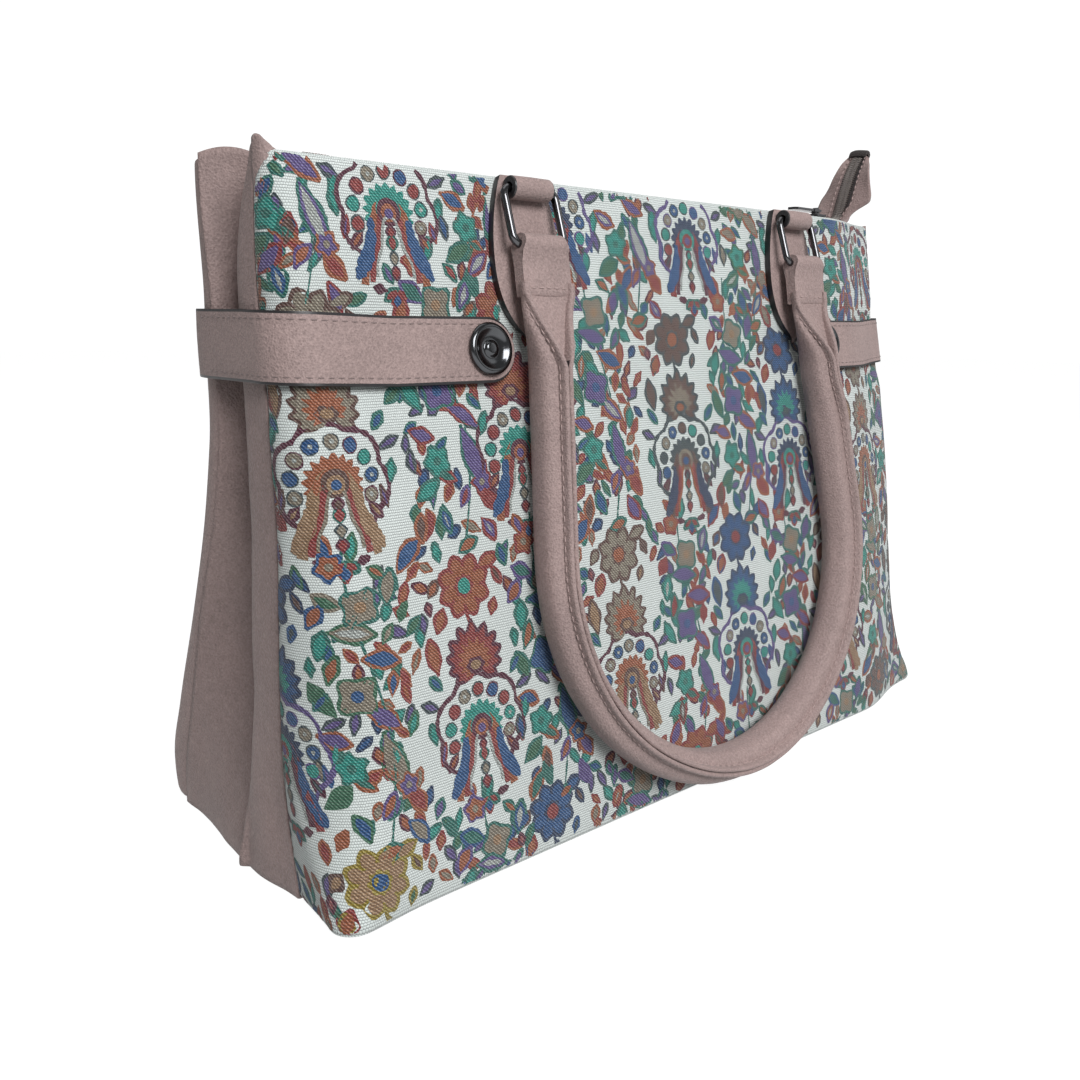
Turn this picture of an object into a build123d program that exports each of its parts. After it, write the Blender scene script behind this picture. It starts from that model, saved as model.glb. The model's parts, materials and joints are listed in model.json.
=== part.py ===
from build123d import *
from math import acos, atan2, cos, degrees, radians, sin, tan
import os

os.makedirs("parts", exist_ok=True)

# Driving dimensions in millimetres: X runs along the bag, -Y is the woven front, Z is up
RIM_HEIGHT = 288.0
HALF_LENGTH_BASE = 217.0
HALF_LENGTH_RIM = 212.5
FRONT_BASE_DEPTH = 76.4
FRONT_LEAN = 10.0
PANEL_THICKNESS = 3.0
GUSSET_THICKNESS = 1.8
BASE_THICKNESS = 2.5
LINING_THICKNESS = 0.8
BOARD_THICKNESS = 1.6
FACING_THICKNESS = 1.4
FACING_DEPTH = 27.0
FACING_EAR = 4.5
FACING_EAR_LENGTH = 14.0
FACING_OVER_RIM = 1.2
LINING_TOP = 261.0
LAYER_GAP = 0.35
GUSSET_TOP_DROP = 2.0

RING_WIRE = 3.6
RING_WIDTH = 28.4
RING_HEIGHT = 24.5
RING_CORNER = 3.0
RING_SPACING = 95.0
BORE_GAP = 0.35
LOOP_LEATHER = 2.6
LOOP_WIDTH = 21.6
LOOP_HEIGHT = 281.0
LOOP_STAND_OFF = 8.3
TAB_THICKNESS = 4.0
TAB_GAP = 0.1
TAB_HALF_WIDTH = 18.5
TAB_WIDEST = 252.0
TAB_TIP = 220.5
TAB_TOP = 287.0
TAB_SHOULDER = (0.95, 0.55)
TAB_BELLY = (0.7, 0.71)

HANDLE_STAND_OFF = 12.0
HANDLE_CORE = 8.0
FIN_REACH = 14.0
FIN_HALF_WIDTH = 2.4
HANDLE_BEND = 106.0
HANDLE_BEND_HEIGHT = 120.0
HANDLE_END_WIDTH = 27.0
HANDLE_END_THICKNESS = 5.0
HANDLE_END_LENGTH = 21.0
HANDLE_TAPER_LENGTH = 34.0
BACK_HANDLE_LEAN = 13.8

STRAP_LOW = 202.0
STRAP_HIGH = 230.0
STRAP_THICKNESS = 3.0
STRAP_GAP = 0.6
STRAP_END = 108.0
SNAP_HEIGHT = 216.0
CAP_RADIUS = 11.0
CAP_HEIGHT = 3.0
POST_RADIUS = 3.0
SOCKET_RADIUS = 6.3
SOCKET_BORE = 5.1
SOCKET_HEIGHT = 1.9
STUD_FLANGE = 5.5

ZIP_HEIGHT = 289.0
WING_THICKNESS = 1.2
TAPE_THICKNESS = 2.0
TAPE_SEAM_GAP = 0.4
SLIDER_X = 166.0
SLIDER_LENGTH = 12.0
SLIDER_HALF_WIDTH = 4.5
PLATE_THICKNESS = 1.2
PULLER_LENGTH = 25.0


# The bag's horizontal outline at one height: where its seams, folds and corners lie
class Station:
    def __init__(self, z, front_seam, front_corner, fold, valley, back_seam, back_corner, back):
        self.z = z
        self.front_seam = front_seam
        self.front_corner = front_corner
        self.fold = fold
        self.valley = valley
        self.back_seam = back_seam
        self.back_corner = back_corner
        self.back = back
        self.front = front_y(z)
        self.half = HALF_LENGTH_BASE + (HALF_LENGTH_RIM - HALF_LENGTH_BASE) * z / RIM_HEIGHT


def front_y(z):
    return -FRONT_BASE_DEPTH + z * tan(radians(FRONT_LEAN))


STATIONS = [
    Station(BASE_THICKNESS, -38.0, 9.0, -3.0, 5.0, 72.0, 10.0, 88.0),
    Station(20.0, -34.0, 19.0, -2.0, 11.0, 71.0, 12.0, 92.0),
    Station(50.0, -30.0, 30.0, -2.0, 21.0, 62.0, 14.0, 83.0),
    Station(100.0, -29.5, 28.0, -5.0, 34.0, 47.0, 17.0, 65.0),
    Station(150.0, -30.5, 19.0, -7.4, 38.0, 27.5, 20.0, 48.0),
    Station(200.0, -25.0, 15.5, -4.0, 36.0, 18.0, 20.0, 38.5),
    Station(235.0, -19.5, 15.0, -2.0, 32.0, 15.5, 18.0, 34.4),
    Station(265.0, -17.5, 11.0, -6.0, 28.0, 16.5, 14.0, 30.8),
    Station(RIM_HEIGHT, -19.5, 5.0, -15.0, 24.0, 16.0, 11.0, 28.0),
]


def at_height(z):
    lower = [s for s in STATIONS if s.z <= z][-1]
    upper = [s for s in STATIONS if s.z >= z][0]
    share = 0.0 if upper.z == lower.z else (z - lower.z) / (upper.z - lower.z)
    names = ["front_seam", "front_corner", "fold", "valley", "back_seam", "back_corner", "back"]
    return Station(z, *[getattr(lower, n) + share * (getattr(upper, n) - getattr(lower, n)) for n in names])


# The left gusset's folded line, from the front seam over the fold and valley to the back seam,
# moved into the bag by an inset with mitred corners
def gusset_line(s, inset):
    outer = [
        Vector(-s.half, s.front_seam),
        Vector(-s.half + 1.0, s.fold),
        Vector(-s.half + s.valley, s.fold + 9.0),
        Vector(-s.half + 1.5, s.back_seam),
    ]
    if inset == 0:
        return outer
    moved = [Vector(outer[0].X + inset, outer[0].Y)]
    for before, corner, after in zip(outer, outer[1:], outer[2:]):
        first = (corner - before).normalized()
        second = (after - corner).normalized()
        normals = Vector(first.Y, -first.X), Vector(second.Y, -second.X)
        middle = (normals[0] + normals[1]).normalized()
        moved.append(corner + middle * (inset / middle.dot(normals[0])))
    moved.append(Vector(outer[3].X + inset, outer[3].Y))
    return moved


def mirrored(points):
    return [Vector(-p.X, p.Y) for p in reversed(points)]


def raised(points, z):
    return [Vector(p.X, p.Y, z) for p in points]


def corner_arc(centre, radius, start, sweep, z):
    angles = [radians(start), radians(start + sweep / 2), radians(start + sweep)]
    return ThreePointArc(*[(centre.X + radius * cos(a), centre.Y + radius * sin(a), z) for a in angles])


# One panel's U-shaped path round its two corners, from the left seam to the right seam
def panel_path(s, inset, front):
    seam, corner = (s.front_seam, s.front_corner) if front else (s.back_seam, s.back_corner)
    side = s.half - (0 if front else 1.5) - inset
    reach = s.front + inset if front else s.back - inset
    radius = corner - inset
    way = 1 if front else -1
    left = Vector(-side + radius, reach + way * radius)
    right = Vector(-left.X, left.Y)
    first = corner_arc(left, radius, 180, 90 * way, s.z)
    second = corner_arc(right, radius, -90 * way, 90 * way, s.z)
    return [
        Line((-side, seam, s.z), first @ 0),
        first,
        Line(first @ 1, second @ 0),
        second,
        Line(second @ 1, (side, seam, s.z)),
    ]


def panel_face(s, thickness, front, inset=0.0):
    outer = panel_path(s, inset, front)
    inner = panel_path(s, inset + thickness, front)
    ends = [Line(outer[0] @ 0, inner[0] @ 0), Line(outer[-1] @ 1, inner[-1] @ 1)]
    return Face(Wire(outer + inner + ends))


def gusset_face(s):
    outer = raised(gusset_line(s, 0), s.z)
    inner = raised(gusset_line(s, GUSSET_THICKNESS), s.z)
    return Face(Wire.make_polygon(outer + inner[::-1], close=True))


# The whole outline at one height as a closed face, moved in by an inset, with round or cut corners
def bag_face(s, inset, round_corners=True):
    left = gusset_line(s, inset)
    front = panel_path(s, inset, True)
    back = panel_path(s, inset, False)
    if not round_corners:
        front = [Line(edge @ 0, edge @ 1) for edge in front]
        back = [Line(edge @ 0, edge @ 1) for edge in back]
    left_side = [Line(a, b) for a, b in zip(raised(left, s.z), raised(left, s.z)[1:])]
    right = raised(mirrored(left), s.z)
    right_side = [Line(a, b) for a, b in zip(right, right[1:])]
    return Face(Wire(front + left_side + right_side + back))


def stack(faces):
    return loft(faces, ruled=True)


def stations_between(low, high):
    inside = [s for s in STATIONS if low < s.z < high]
    return [at_height(low)] + inside + [at_height(high)]


def save(name, shape):
    export_step(shape, "parts/" + name + ".step")


# Woven front panel and plain back panel
front_panel = stack([panel_face(s, PANEL_THICKNESS, True) for s in STATIONS])
back_panel = stack([panel_face(s, PANEL_THICKNESS, False) for s in STATIONS])

# Folded gussets, a little lower than the rim
gusset_stations = stations_between(BASE_THICKNESS, RIM_HEIGHT - GUSSET_TOP_DROP)
gusset_left = stack([gusset_face(s) for s in gusset_stations])
gusset_right = mirror(gusset_left, about=Plane.YZ)

# Base under the walls, the stiffening board on it, and the lining bag
base_outline = bag_face(at_height(BASE_THICKNESS), 0)
base_panel = extrude(base_outline, amount=BASE_THICKNESS, dir=(0, 0, -1))
board_low = BASE_THICKNESS + LAYER_GAP
board_middle = (STATIONS[0].front + STATIONS[0].back) / 2
board_depth = STATIONS[0].back - STATIONS[0].front - 4 * PANEL_THICKNESS
board_length = 2 * (STATIONS[0].half - STATIONS[0].valley - 5 * GUSSET_THICKNESS)
board_blank = Pos(0, board_middle, board_low) * RectangleRounded(board_length, board_depth, 10)
base_board = extrude(board_blank, amount=BOARD_THICKNESS)
lining_low = board_low + BOARD_THICKNESS + LAYER_GAP
lining_inset = PANEL_THICKNESS + LAYER_GAP
lining_heights = [s.z for s in STATIONS[1:7]] + [LINING_TOP]
lining_outside = stack([bag_face(at_height(z), lining_inset, False) for z in [lining_low] + lining_heights])
hollow_low = lining_low + LINING_THICKNESS
hollow_inset = lining_inset + LINING_THICKNESS
lining_inside = stack([bag_face(at_height(z), hollow_inset, False) for z in [hollow_low] + lining_heights])
lining = lining_outside - lining_inside


# A flat piece drawn in a leaning plane: X along the bag, Y up the slope, Z out of the bag
def slope_plane(height, y, lean, front):
    way = 1 if front else -1
    return Plane(origin=(0, y, height), x_dir=(way, 0, 0), z_dir=(0, -way * cos(radians(lean)), sin(radians(lean))))


def facing(front):
    top = at_height(RIM_HEIGHT)
    low = at_height(RIM_HEIGHT - FACING_DEPTH)
    rise = top.z - low.z
    y_top, y_low = (top.front, low.front) if front else (top.back, low.back)
    lean = degrees(atan2(abs(y_top - y_low), rise))
    plane = slope_plane(low.z, y_low, lean, front)
    slope = rise / cos(radians(lean))
    half_low = low.half - (low.front_corner if front else low.back_corner) - PANEL_THICKNESS
    half_top = top.half - (top.front_corner if front else top.back_corner) - PANEL_THICKNESS
    lift = 1.0
    outline = Polyline(
        (-half_low, lift), (half_low, lift), (half_top, slope + FACING_EAR), (half_top - FACING_EAR_LENGTH, slope + FACING_OVER_RIM),
        (FACING_EAR_LENGTH - half_top, slope + FACING_OVER_RIM), (-half_top, slope + FACING_EAR), close=True)
    sheet = make_face(outline)
    depth = PANEL_THICKNESS + LAYER_GAP
    return extrude(plane * Pos(0, 0, -depth) * sheet, amount=-FACING_THICKNESS)


top_facing_front = facing(True)
top_facing_back = facing(False)


# Ring, loop tab and handle of one side: a tab on the panel, a ring in its loop, the handle below
class HandleSide:
    def __init__(self, front):
        self.front = front
        self.way = 1 if front else -1
        panel_at = at_height(LOOP_HEIGHT)
        lower = at_height(TAB_TIP)
        if front:
            self.tab_lean = FRONT_LEAN
            self.tab_y = panel_at.front
        else:
            self.tab_lean = degrees(atan2(lower.back - panel_at.back, panel_at.z - lower.z))
            self.tab_y = panel_at.back
        self.tab_plane = slope_plane(LOOP_HEIGHT, self.tab_y, self.tab_lean, front)
        self.loop_axis = self.tab_plane.from_local_coords(Vector(0, 0, LOOP_STAND_OFF))
        drop = self.tab_lean + degrees(atan2(HANDLE_STAND_OFF - LOOP_STAND_OFF, RING_HEIGHT))
        self.ring_plane = slope_plane(self.loop_axis.Z, self.loop_axis.Y, drop, front)
        self.bar_axis = self.ring_plane.from_local_coords(Vector(0, -RING_HEIGHT, 0))
        self.handle_lean = FRONT_LEAN if front else BACK_HANDLE_LEAN
        self.handle_plane = slope_plane(self.bar_axis.Z, self.bar_axis.Y, self.handle_lean, front)


def rod_along_x(point, x, radius, length):
    turned = Plane(origin=(x - length / 2, point.Y, point.Z), x_dir=(0, 1, 0), z_dir=(1, 0, 0))
    return extrude(turned * Circle(radius), amount=length)


def ring(side, x):
    corners = [(-RING_WIDTH / 2, -RING_HEIGHT), (RING_WIDTH / 2, -RING_HEIGHT)]
    corners += [(RING_WIDTH / 2, 0), (-RING_WIDTH / 2, 0)]
    frame = FilletPolyline(*corners, radius=RING_CORNER, close=True)
    start = Plane(origin=frame @ 0, z_dir=frame % 0)
    wire = sweep(start * Circle(RING_WIRE / 2), path=frame)
    return Pos(x, 0, 0) * (side.ring_plane * wire)


def tab(side, x):
    slope = 1 / cos(radians(side.tab_lean))
    top = (TAB_TOP - LOOP_HEIGHT) * slope
    widest = (TAB_WIDEST - LOOP_HEIGHT) * slope
    tip = (TAB_TIP - LOOP_HEIGHT) * slope
    half = LOOP_WIDTH / 2
    shoulder = (TAB_HALF_WIDTH * TAB_SHOULDER[0], widest * TAB_SHOULDER[1])
    belly = (TAB_HALF_WIDTH * TAB_BELLY[0], widest + (tip - widest) * TAB_BELLY[1])
    right_upper = ThreePointArc((half, top), shoulder, (TAB_HALF_WIDTH, widest))
    right_lower = ThreePointArc((TAB_HALF_WIDTH, widest), belly, (0, tip))
    left_lower = ThreePointArc((0, tip), (-belly[0], belly[1]), (-TAB_HALF_WIDTH, widest))
    left_upper = ThreePointArc((-TAB_HALF_WIDTH, widest), (-shoulder[0], shoulder[1]), (-half, top))
    outline = Wire([right_upper, right_lower, left_lower, left_upper, Line((-half, top), (half, top))])
    outward = side.tab_plane.z_dir
    tongue = extrude(side.tab_plane * Pos(0, 0, TAB_GAP) * Face(outline), amount=TAB_THICKNESS, dir=outward)
    tongue = Pos(x, 0, 0) * tongue
    bore = RING_WIRE / 2 + BORE_GAP
    loop = rod_along_x(side.loop_axis, x, bore + LOOP_LEATHER, LOOP_WIDTH)
    hole = rod_along_x(side.loop_axis, x, bore, LOOP_WIDTH + 2)
    return tongue + loop - hole


def fin_section():
    shoulder = radians(40)
    side = HANDLE_CORE * cos(shoulder)
    rise = HANDLE_CORE * sin(shoulder)
    neck = HANDLE_CORE + 1.5
    back = ThreePointArc((side, rise), (0, -HANDLE_CORE), (-side, rise))
    front = Polyline(
        (-side, rise), (-FIN_HALF_WIDTH, neck), (-FIN_HALF_WIDTH, FIN_REACH),
        (FIN_HALF_WIDTH, FIN_REACH), (FIN_HALF_WIDTH, neck), (side, rise))
    return Face(Wire([back] + front.edges()))


# The handle in its own plane: legs from the ring bars, tangent to the round bend
def handle(side):
    centre_down = (side.bar_axis.Z - HANDLE_BEND_HEIGHT) / cos(radians(side.handle_lean))
    leg_top = Vector(RING_SPACING, -HANDLE_END_LENGTH)
    to_top = Vector(leg_top.X, centre_down - HANDLE_END_LENGTH)
    touch = atan2(to_top.Y, to_top.X) - acos(HANDLE_BEND / to_top.length)
    tangent = Vector(HANDLE_BEND * cos(touch), HANDLE_BEND * sin(touch) - centre_down)
    leg_way = (tangent - leg_top).normalized()
    core_top = leg_top + leg_way * HANDLE_TAPER_LENGTH
    bottom = (0, -HANDLE_BEND - centre_down)
    bend = ThreePointArc((tangent.X, tangent.Y), bottom, (-tangent.X, tangent.Y))
    right_leg = Line((core_top.X, core_top.Y), bend @ 0)
    left_leg = Line(bend @ 1, (-core_top.X, core_top.Y))
    path = Wire([right_leg, bend, left_leg])
    start = Plane(origin=(core_top.X, core_top.Y, 0), x_dir=(-leg_way.Y, leg_way.X, 0), z_dir=tuple(leg_way))
    body = sweep(start * fin_section(), path=path)
    for way in (1, -1):
        body += end_piece(way, leg_top, core_top, leg_way)
    body = side.handle_plane * body
    for way in (1, -1):
        bore = RING_WIRE / 2 + BORE_GAP
        body += rod_along_x(side.bar_axis, way * RING_SPACING, bore + LOOP_LEATHER, LOOP_WIDTH)
    for way in (1, -1):
        body -= rod_along_x(side.bar_axis, way * RING_SPACING, RING_WIRE / 2 + BORE_GAP, HANDLE_END_WIDTH + 6)
    return body


# A flat end that folds over the ring, and the stretch where its edges close into the round grip
def end_piece(way, leg_top, core_top, leg_way):
    half = HANDLE_END_WIDTH / 2
    thick = HANDLE_END_THICKNESS / 2
    flat = Box(HANDLE_END_WIDTH, HANDLE_END_LENGTH - 4, HANDLE_END_THICKNESS)
    flat = Pos(RING_SPACING, -HANDLE_END_LENGTH / 2 - 2, 0) * flat
    wide = [(-half, -thick), (half, -thick), (half, thick), (3, thick), (-3, thick), (-half, thick)]
    core = HANDLE_CORE
    slim = [(-core * 0.75, -core * 0.9), (core * 0.75, -core * 0.9), (core, 2)]
    slim += [(FIN_HALF_WIDTH, FIN_REACH), (-FIN_HALF_WIDTH, FIN_REACH), (-core, 2)]
    upper = Plane(origin=(leg_top.X, leg_top.Y, 0), x_dir=(1, 0, 0), z_dir=(0, -1, 0))
    lower = Plane(origin=(core_top.X, core_top.Y, 0), x_dir=(-leg_way.Y, leg_way.X, 0), z_dir=tuple(leg_way))
    rows = [Face(Wire.make_polygon([upper.from_local_coords(Vector(*p)) for p in wide], close=True))]
    rows.append(Face(Wire.make_polygon([lower.from_local_coords(Vector(*p)) for p in slim], close=True)))
    piece = flat + loft(rows, ruled=True)
    return piece if way == 1 else mirror(piece, about=Plane.YZ)


# Closing strap: sewn at the back corner, it wraps the side and the front corner to its snap
def strap_face(z):
    s = at_height(z)
    rows = []
    for stand in (STRAP_GAP, STRAP_GAP + STRAP_THICKNESS):
        front_arc = panel_path(s, -stand, True)[1]
        back_arc = panel_path(s, -stand, False)[1]
        corner_end = front_arc @ 1
        side_run = Line(back_arc @ 0, front_arc @ 0)
        rows.append([back_arc, side_run, front_arc, Line(corner_end, (-STRAP_END, corner_end.Y, z))])
    inner, outer = rows
    ends = [Line(inner[0] @ 1, outer[0] @ 1), Line(inner[3] @ 1, outer[3] @ 1)]
    return Face(Wire(inner + outer + ends))


snap_x = STRAP_END + (STRAP_HIGH - STRAP_LOW) / 2
snap_plane = Plane(
    origin=(-snap_x, front_y(SNAP_HEIGHT), SNAP_HEIGHT), x_dir=(1, 0, 0),
    z_dir=(0, -cos(radians(FRONT_LEAN)), sin(radians(FRONT_LEAN))))


def snap_disc(radius, low, high):
    return snap_plane * Pos(0, 0, low) * extrude(Circle(radius), amount=high - low)


strap_inner = STRAP_GAP
strap_outer = STRAP_GAP + STRAP_THICKNESS
end_radius = (STRAP_HIGH - STRAP_LOW) / cos(radians(FRONT_LEAN)) / 2
strap_left = loft([strap_face(STRAP_LOW), strap_face(STRAP_HIGH)], ruled=True)
end_block = snap_plane * Pos(end_radius, 0, 0) * Box(2 * end_radius, 3 * end_radius, 20)
end_block -= snap_disc(end_radius, -12, 12)
strap_left -= end_block
strap_left -= snap_disc(SOCKET_RADIUS + 0.2, strap_inner - 1, strap_inner + SOCKET_HEIGHT + 0.1)
strap_left -= snap_disc(POST_RADIUS + 0.1, strap_inner, strap_outer + 1)
strap_right = mirror(strap_left, about=Plane.YZ)

# Snap: dished cap with its post outside, socket inside the strap, stud on the panel
cap_base = strap_outer + 0.1
cap_profile = Polyline(
    (0, strap_inner + SOCKET_HEIGHT + 0.1), (POST_RADIUS, strap_inner + SOCKET_HEIGHT + 0.1),
    (POST_RADIUS, cap_base), (CAP_RADIUS, cap_base), (CAP_RADIUS, cap_base + 1.2),
    (CAP_RADIUS - 1.4, cap_base + CAP_HEIGHT), (CAP_RADIUS - 3.2, cap_base + CAP_HEIGHT),
    (CAP_RADIUS - 5.2, cap_base + 1.6), (3.2, cap_base + 1.4), (2.2, cap_base + 2.4), (0, cap_base + 2.4), close=True)
cap_blank = revolve(Plane.XZ * make_face(cap_profile), axis=Axis.Z)
snap_cap_left = snap_plane * cap_blank
snap_cap_right = mirror(snap_cap_left, about=Plane.YZ)
socket_top = strap_inner + SOCKET_HEIGHT
snap_socket_left = snap_disc(SOCKET_RADIUS, strap_inner, socket_top) - snap_disc(SOCKET_BORE, 0, socket_top - 0.5)
snap_socket_right = mirror(snap_socket_left, about=Plane.YZ)
stud_recess = snap_disc(STUD_FLANGE + 0.1, -0.6, 2)
stud_recess += mirror(stud_recess, about=Plane.YZ)
front_panel -= stud_recess
snap_stud_left = snap_disc(STUD_FLANGE, -0.6, 0) + snap_disc(POST_RADIUS, -0.1, strap_inner + 1.2)
snap_stud_right = mirror(snap_stud_left, about=Plane.YZ)


# Zip: each side's wing and tape follow the same rows across the mouth and up into the tail
class ZipRow:
    def __init__(self, x, z, outer, inner, coil, outer_z=None, coil_z=None, turn=0.0):
        self.x = x
        self.z = z
        self.outer = outer
        self.inner = inner
        self.coil = coil
        self.outer_z = z if outer_z is None else outer_z
        self.coil_z = z if coil_z is None else coil_z
        self.turn = turn


DROOP = dict(z=253.0, outer=23.5, inner=15.0, coil=12.6, outer_z=270.0, coil_z=248.2)
ZIP_ROWS = [
    ZipRow(-184.0, ZIP_HEIGHT, 17.0, 6.6, 1.6),
    ZipRow(-168.0, ZIP_HEIGHT, 17.0, 6.6, 1.6),
    ZipRow(-120.0, **DROOP),
    ZipRow(120.0, **DROOP),
    ZipRow(158.0, ZIP_HEIGHT, 17.0, 6.6, 1.6),
    ZipRow(186.0, ZIP_HEIGHT, 17.0, 5.2, 0.15),
    ZipRow(190.0, ZIP_HEIGHT + 1.5, 16.5, 5.2, 0.15, turn=30.0),
    ZipRow(193.0, ZIP_HEIGHT + 7.0, 16.8, 5.2, 0.15, turn=62.0),
    ZipRow(196.2, ZIP_HEIGHT + 16.0, 17.8, 5.2, 0.15, turn=70.0),
    ZipRow(201.5, ZIP_HEIGHT + 28.5, 13.4, 5.2, 0.15, turn=64.0),
    ZipRow(206.5, ZIP_HEIGHT + 36.5, 9.2, 5.2, 0.15, turn=56.0),
    ZipRow(211.0, ZIP_HEIGHT + 42.0, 5.4, 4.0, 0.15, turn=52.0),
]


def zip_strip(edges, thickness, seam_gap):
    faces = []
    for row in ZIP_ROWS:
        places = {
            "outer": Vector(row.x, row.outer, row.outer_z),
            "inner": Vector(row.x, row.inner, row.z),
            "coil": Vector(row.x, row.coil, row.coil_z),
        }
        inward = (places["coil"] - places["outer"]).normalized()
        travel = Vector(cos(radians(row.turn)), 0, sin(radians(row.turn)))
        up = inward.cross(travel).normalized()
        points = [places[edges[0]] + inward * seam_gap, places[edges[1]]]
        lifted = [p + up * thickness for p in points]
        faces.append(Face(Wire.make_polygon([points[0], points[1], lifted[1], lifted[0]], close=True)))
    return loft(faces, ruled=True)


zip_wing_back = zip_strip(("outer", "inner"), WING_THICKNESS, 0.0)
zip_wing_front = mirror(zip_wing_back, about=Plane.XZ)
zip_tape_back = zip_strip(("inner", "coil"), TAPE_THICKNESS, TAPE_SEAM_GAP)
zip_tape_front = mirror(zip_tape_back, about=Plane.XZ)

# Tab folded over the end of the zip tail
tail = ZIP_ROWS[-1]
tail_plane = Plane(
    origin=(tail.x, 0, tail.z), x_dir=(0, 1, 0), z_dir=(-sin(radians(tail.turn)), 0, cos(radians(tail.turn))))
tail_low = 3.5
tail_fold = 3.5
tail_wall = 1.15
tail_play = 0.3
tail_block = Box(2 * tail.outer + 1.2, tail_low + tail_fold, TAPE_THICKNESS + tail_play + 2 * tail_wall)
zip_tail_tab = tail_plane * Pos(0, 0, TAPE_THICKNESS / 2) * tail_block
tail_slot = Box(2 * tail.outer + 8, tail_low + 2.1, TAPE_THICKNESS + tail_play)
zip_tail_tab -= tail_plane * Pos(0, (-2.0 if (tail_plane.y_dir.Z > 0) else 2.0), TAPE_THICKNESS / 2) * tail_slot

# Slider with two plates joined by a bridge, and its puller on a pin
plate_low = ZIP_HEIGHT - 0.3 - PLATE_THICKNESS
plate_high = ZIP_HEIGHT + TAPE_THICKNESS + 0.3
lug_height = plate_high + PLATE_THICKNESS
lug_radius = 2.0
pin_hole = 1.1
pin_radius = 0.8
pivot_z = lug_height + lug_radius


def plate(z):
    blank = RectangleRounded(SLIDER_LENGTH, 2 * SLIDER_HALF_WIDTH, 2.0)
    return extrude(Pos(SLIDER_X, 0, z) * blank, amount=PLATE_THICKNESS)


def rod_along_y(x, z, radius, half):
    turned = Plane(origin=(x, -half, z), x_dir=(1, 0, 0), z_dir=(0, 1, 0))
    return extrude(turned * Circle(radius), amount=2 * half)


bridge_height = plate_high - plate_low
bridge = Pos(SLIDER_X - 4.6, 0, plate_low + bridge_height / 2) * Box(2.4, 1.8, bridge_height)
lug_base = Pos(SLIDER_X, 0, lug_height + lug_radius / 2) * Box(2 * lug_radius, 3.0, lug_radius)
zip_slider = plate(plate_low) + plate(plate_high) + bridge + lug_base
zip_slider += rod_along_y(SLIDER_X, pivot_z, lug_radius, 1.5)
zip_slider -= rod_along_y(SLIDER_X, pivot_z, pin_hole, 3)
ear_offset = 2.6
puller_half = 3.6
puller_thickness = 1.4
zip_puller = rod_along_y(SLIDER_X, pivot_z, pin_radius, puller_half)
for way in (1, -1):
    ear = Box(7.0, puller_half - 2.0, puller_thickness)
    zip_puller += Pos(SLIDER_X - 2.6, way * (puller_half + 2.0) / 2, pivot_z) * ear
blade_length = PULLER_LENGTH - 5.0
blade = Pos(SLIDER_X - 5.0 - blade_length / 2, 0, pivot_z) * Box(blade_length, 2 * puller_half, puller_thickness)
zip_puller += fillet(blade.edges().filter_by(Axis.Z), 2.5)

front_side = HandleSide(True)
back_side = HandleSide(False)
parts = {
    "front_panel": front_panel,
    "back_panel": back_panel,
    "gusset_left": gusset_left,
    "gusset_right": gusset_right,
    "base_panel": base_panel,
    "base_board": base_board,
    "lining": lining,
    "top_facing_front": top_facing_front,
    "top_facing_back": top_facing_back,
    "strap_left": strap_left,
    "strap_right": strap_right,
    "snap_cap_left": snap_cap_left,
    "snap_cap_right": snap_cap_right,
    "snap_socket_left": snap_socket_left,
    "snap_socket_right": snap_socket_right,
    "snap_stud_left": snap_stud_left,
    "snap_stud_right": snap_stud_right,
    "zip_wing_front": zip_wing_front,
    "zip_wing_back": zip_wing_back,
    "zip_tape_front": zip_tape_front,
    "zip_tape_back": zip_tape_back,
    "zip_tail_tab": zip_tail_tab,
    "zip_slider": zip_slider,
    "zip_puller": zip_puller,
}
for label, side in (("front", front_side), ("back", back_side)):
    for hand, x in (("left", -RING_SPACING), ("right", RING_SPACING)):
        parts["ring_" + label + "_" + hand] = ring(side, x)
        parts["ring_tab_" + label + "_" + hand] = tab(side, x)
    parts["handle_" + label] = handle(side)
    print(label, "loop axis", tuple(side.loop_axis), "bar axis", tuple(side.bar_axis))
for name, shape in parts.items():
    save(name, shape)
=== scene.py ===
"""Dresses the shoulder bag: woven front, faux leather, ringed handles, snap straps and zip tail."""
import json
from math import acos, atan2, cos, pi, radians, sin, tan

import bmesh
import bpy
import numpy as np
from mathutils import Matrix, Vector


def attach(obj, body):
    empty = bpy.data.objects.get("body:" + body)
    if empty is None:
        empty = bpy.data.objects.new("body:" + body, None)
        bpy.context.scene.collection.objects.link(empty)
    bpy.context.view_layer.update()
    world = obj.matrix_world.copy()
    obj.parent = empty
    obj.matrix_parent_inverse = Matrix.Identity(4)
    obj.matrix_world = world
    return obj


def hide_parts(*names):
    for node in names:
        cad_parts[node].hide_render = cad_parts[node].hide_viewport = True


bl_info = {
    "name": "Shoulder Bag",
    "version": (1, 0, 0),
    "blender": (4, 5, 0),
    "location": "View3D > Sidebar > Shoulder Bag",
    "description": "Builds a tapestry and faux-leather shoulder bag around its packed frame",
    "category": "Add Mesh",
}

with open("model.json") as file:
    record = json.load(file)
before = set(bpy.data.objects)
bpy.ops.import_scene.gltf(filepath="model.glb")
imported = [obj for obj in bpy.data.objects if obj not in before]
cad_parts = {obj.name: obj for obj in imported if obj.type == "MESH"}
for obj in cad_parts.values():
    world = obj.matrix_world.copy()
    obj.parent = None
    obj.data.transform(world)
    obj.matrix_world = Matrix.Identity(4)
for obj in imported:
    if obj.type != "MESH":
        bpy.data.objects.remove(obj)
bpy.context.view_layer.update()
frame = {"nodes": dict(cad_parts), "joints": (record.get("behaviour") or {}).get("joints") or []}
JOINTS = {joint["name"]: joint for joint in frame["joints"]}
MM = 0.001

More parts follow.
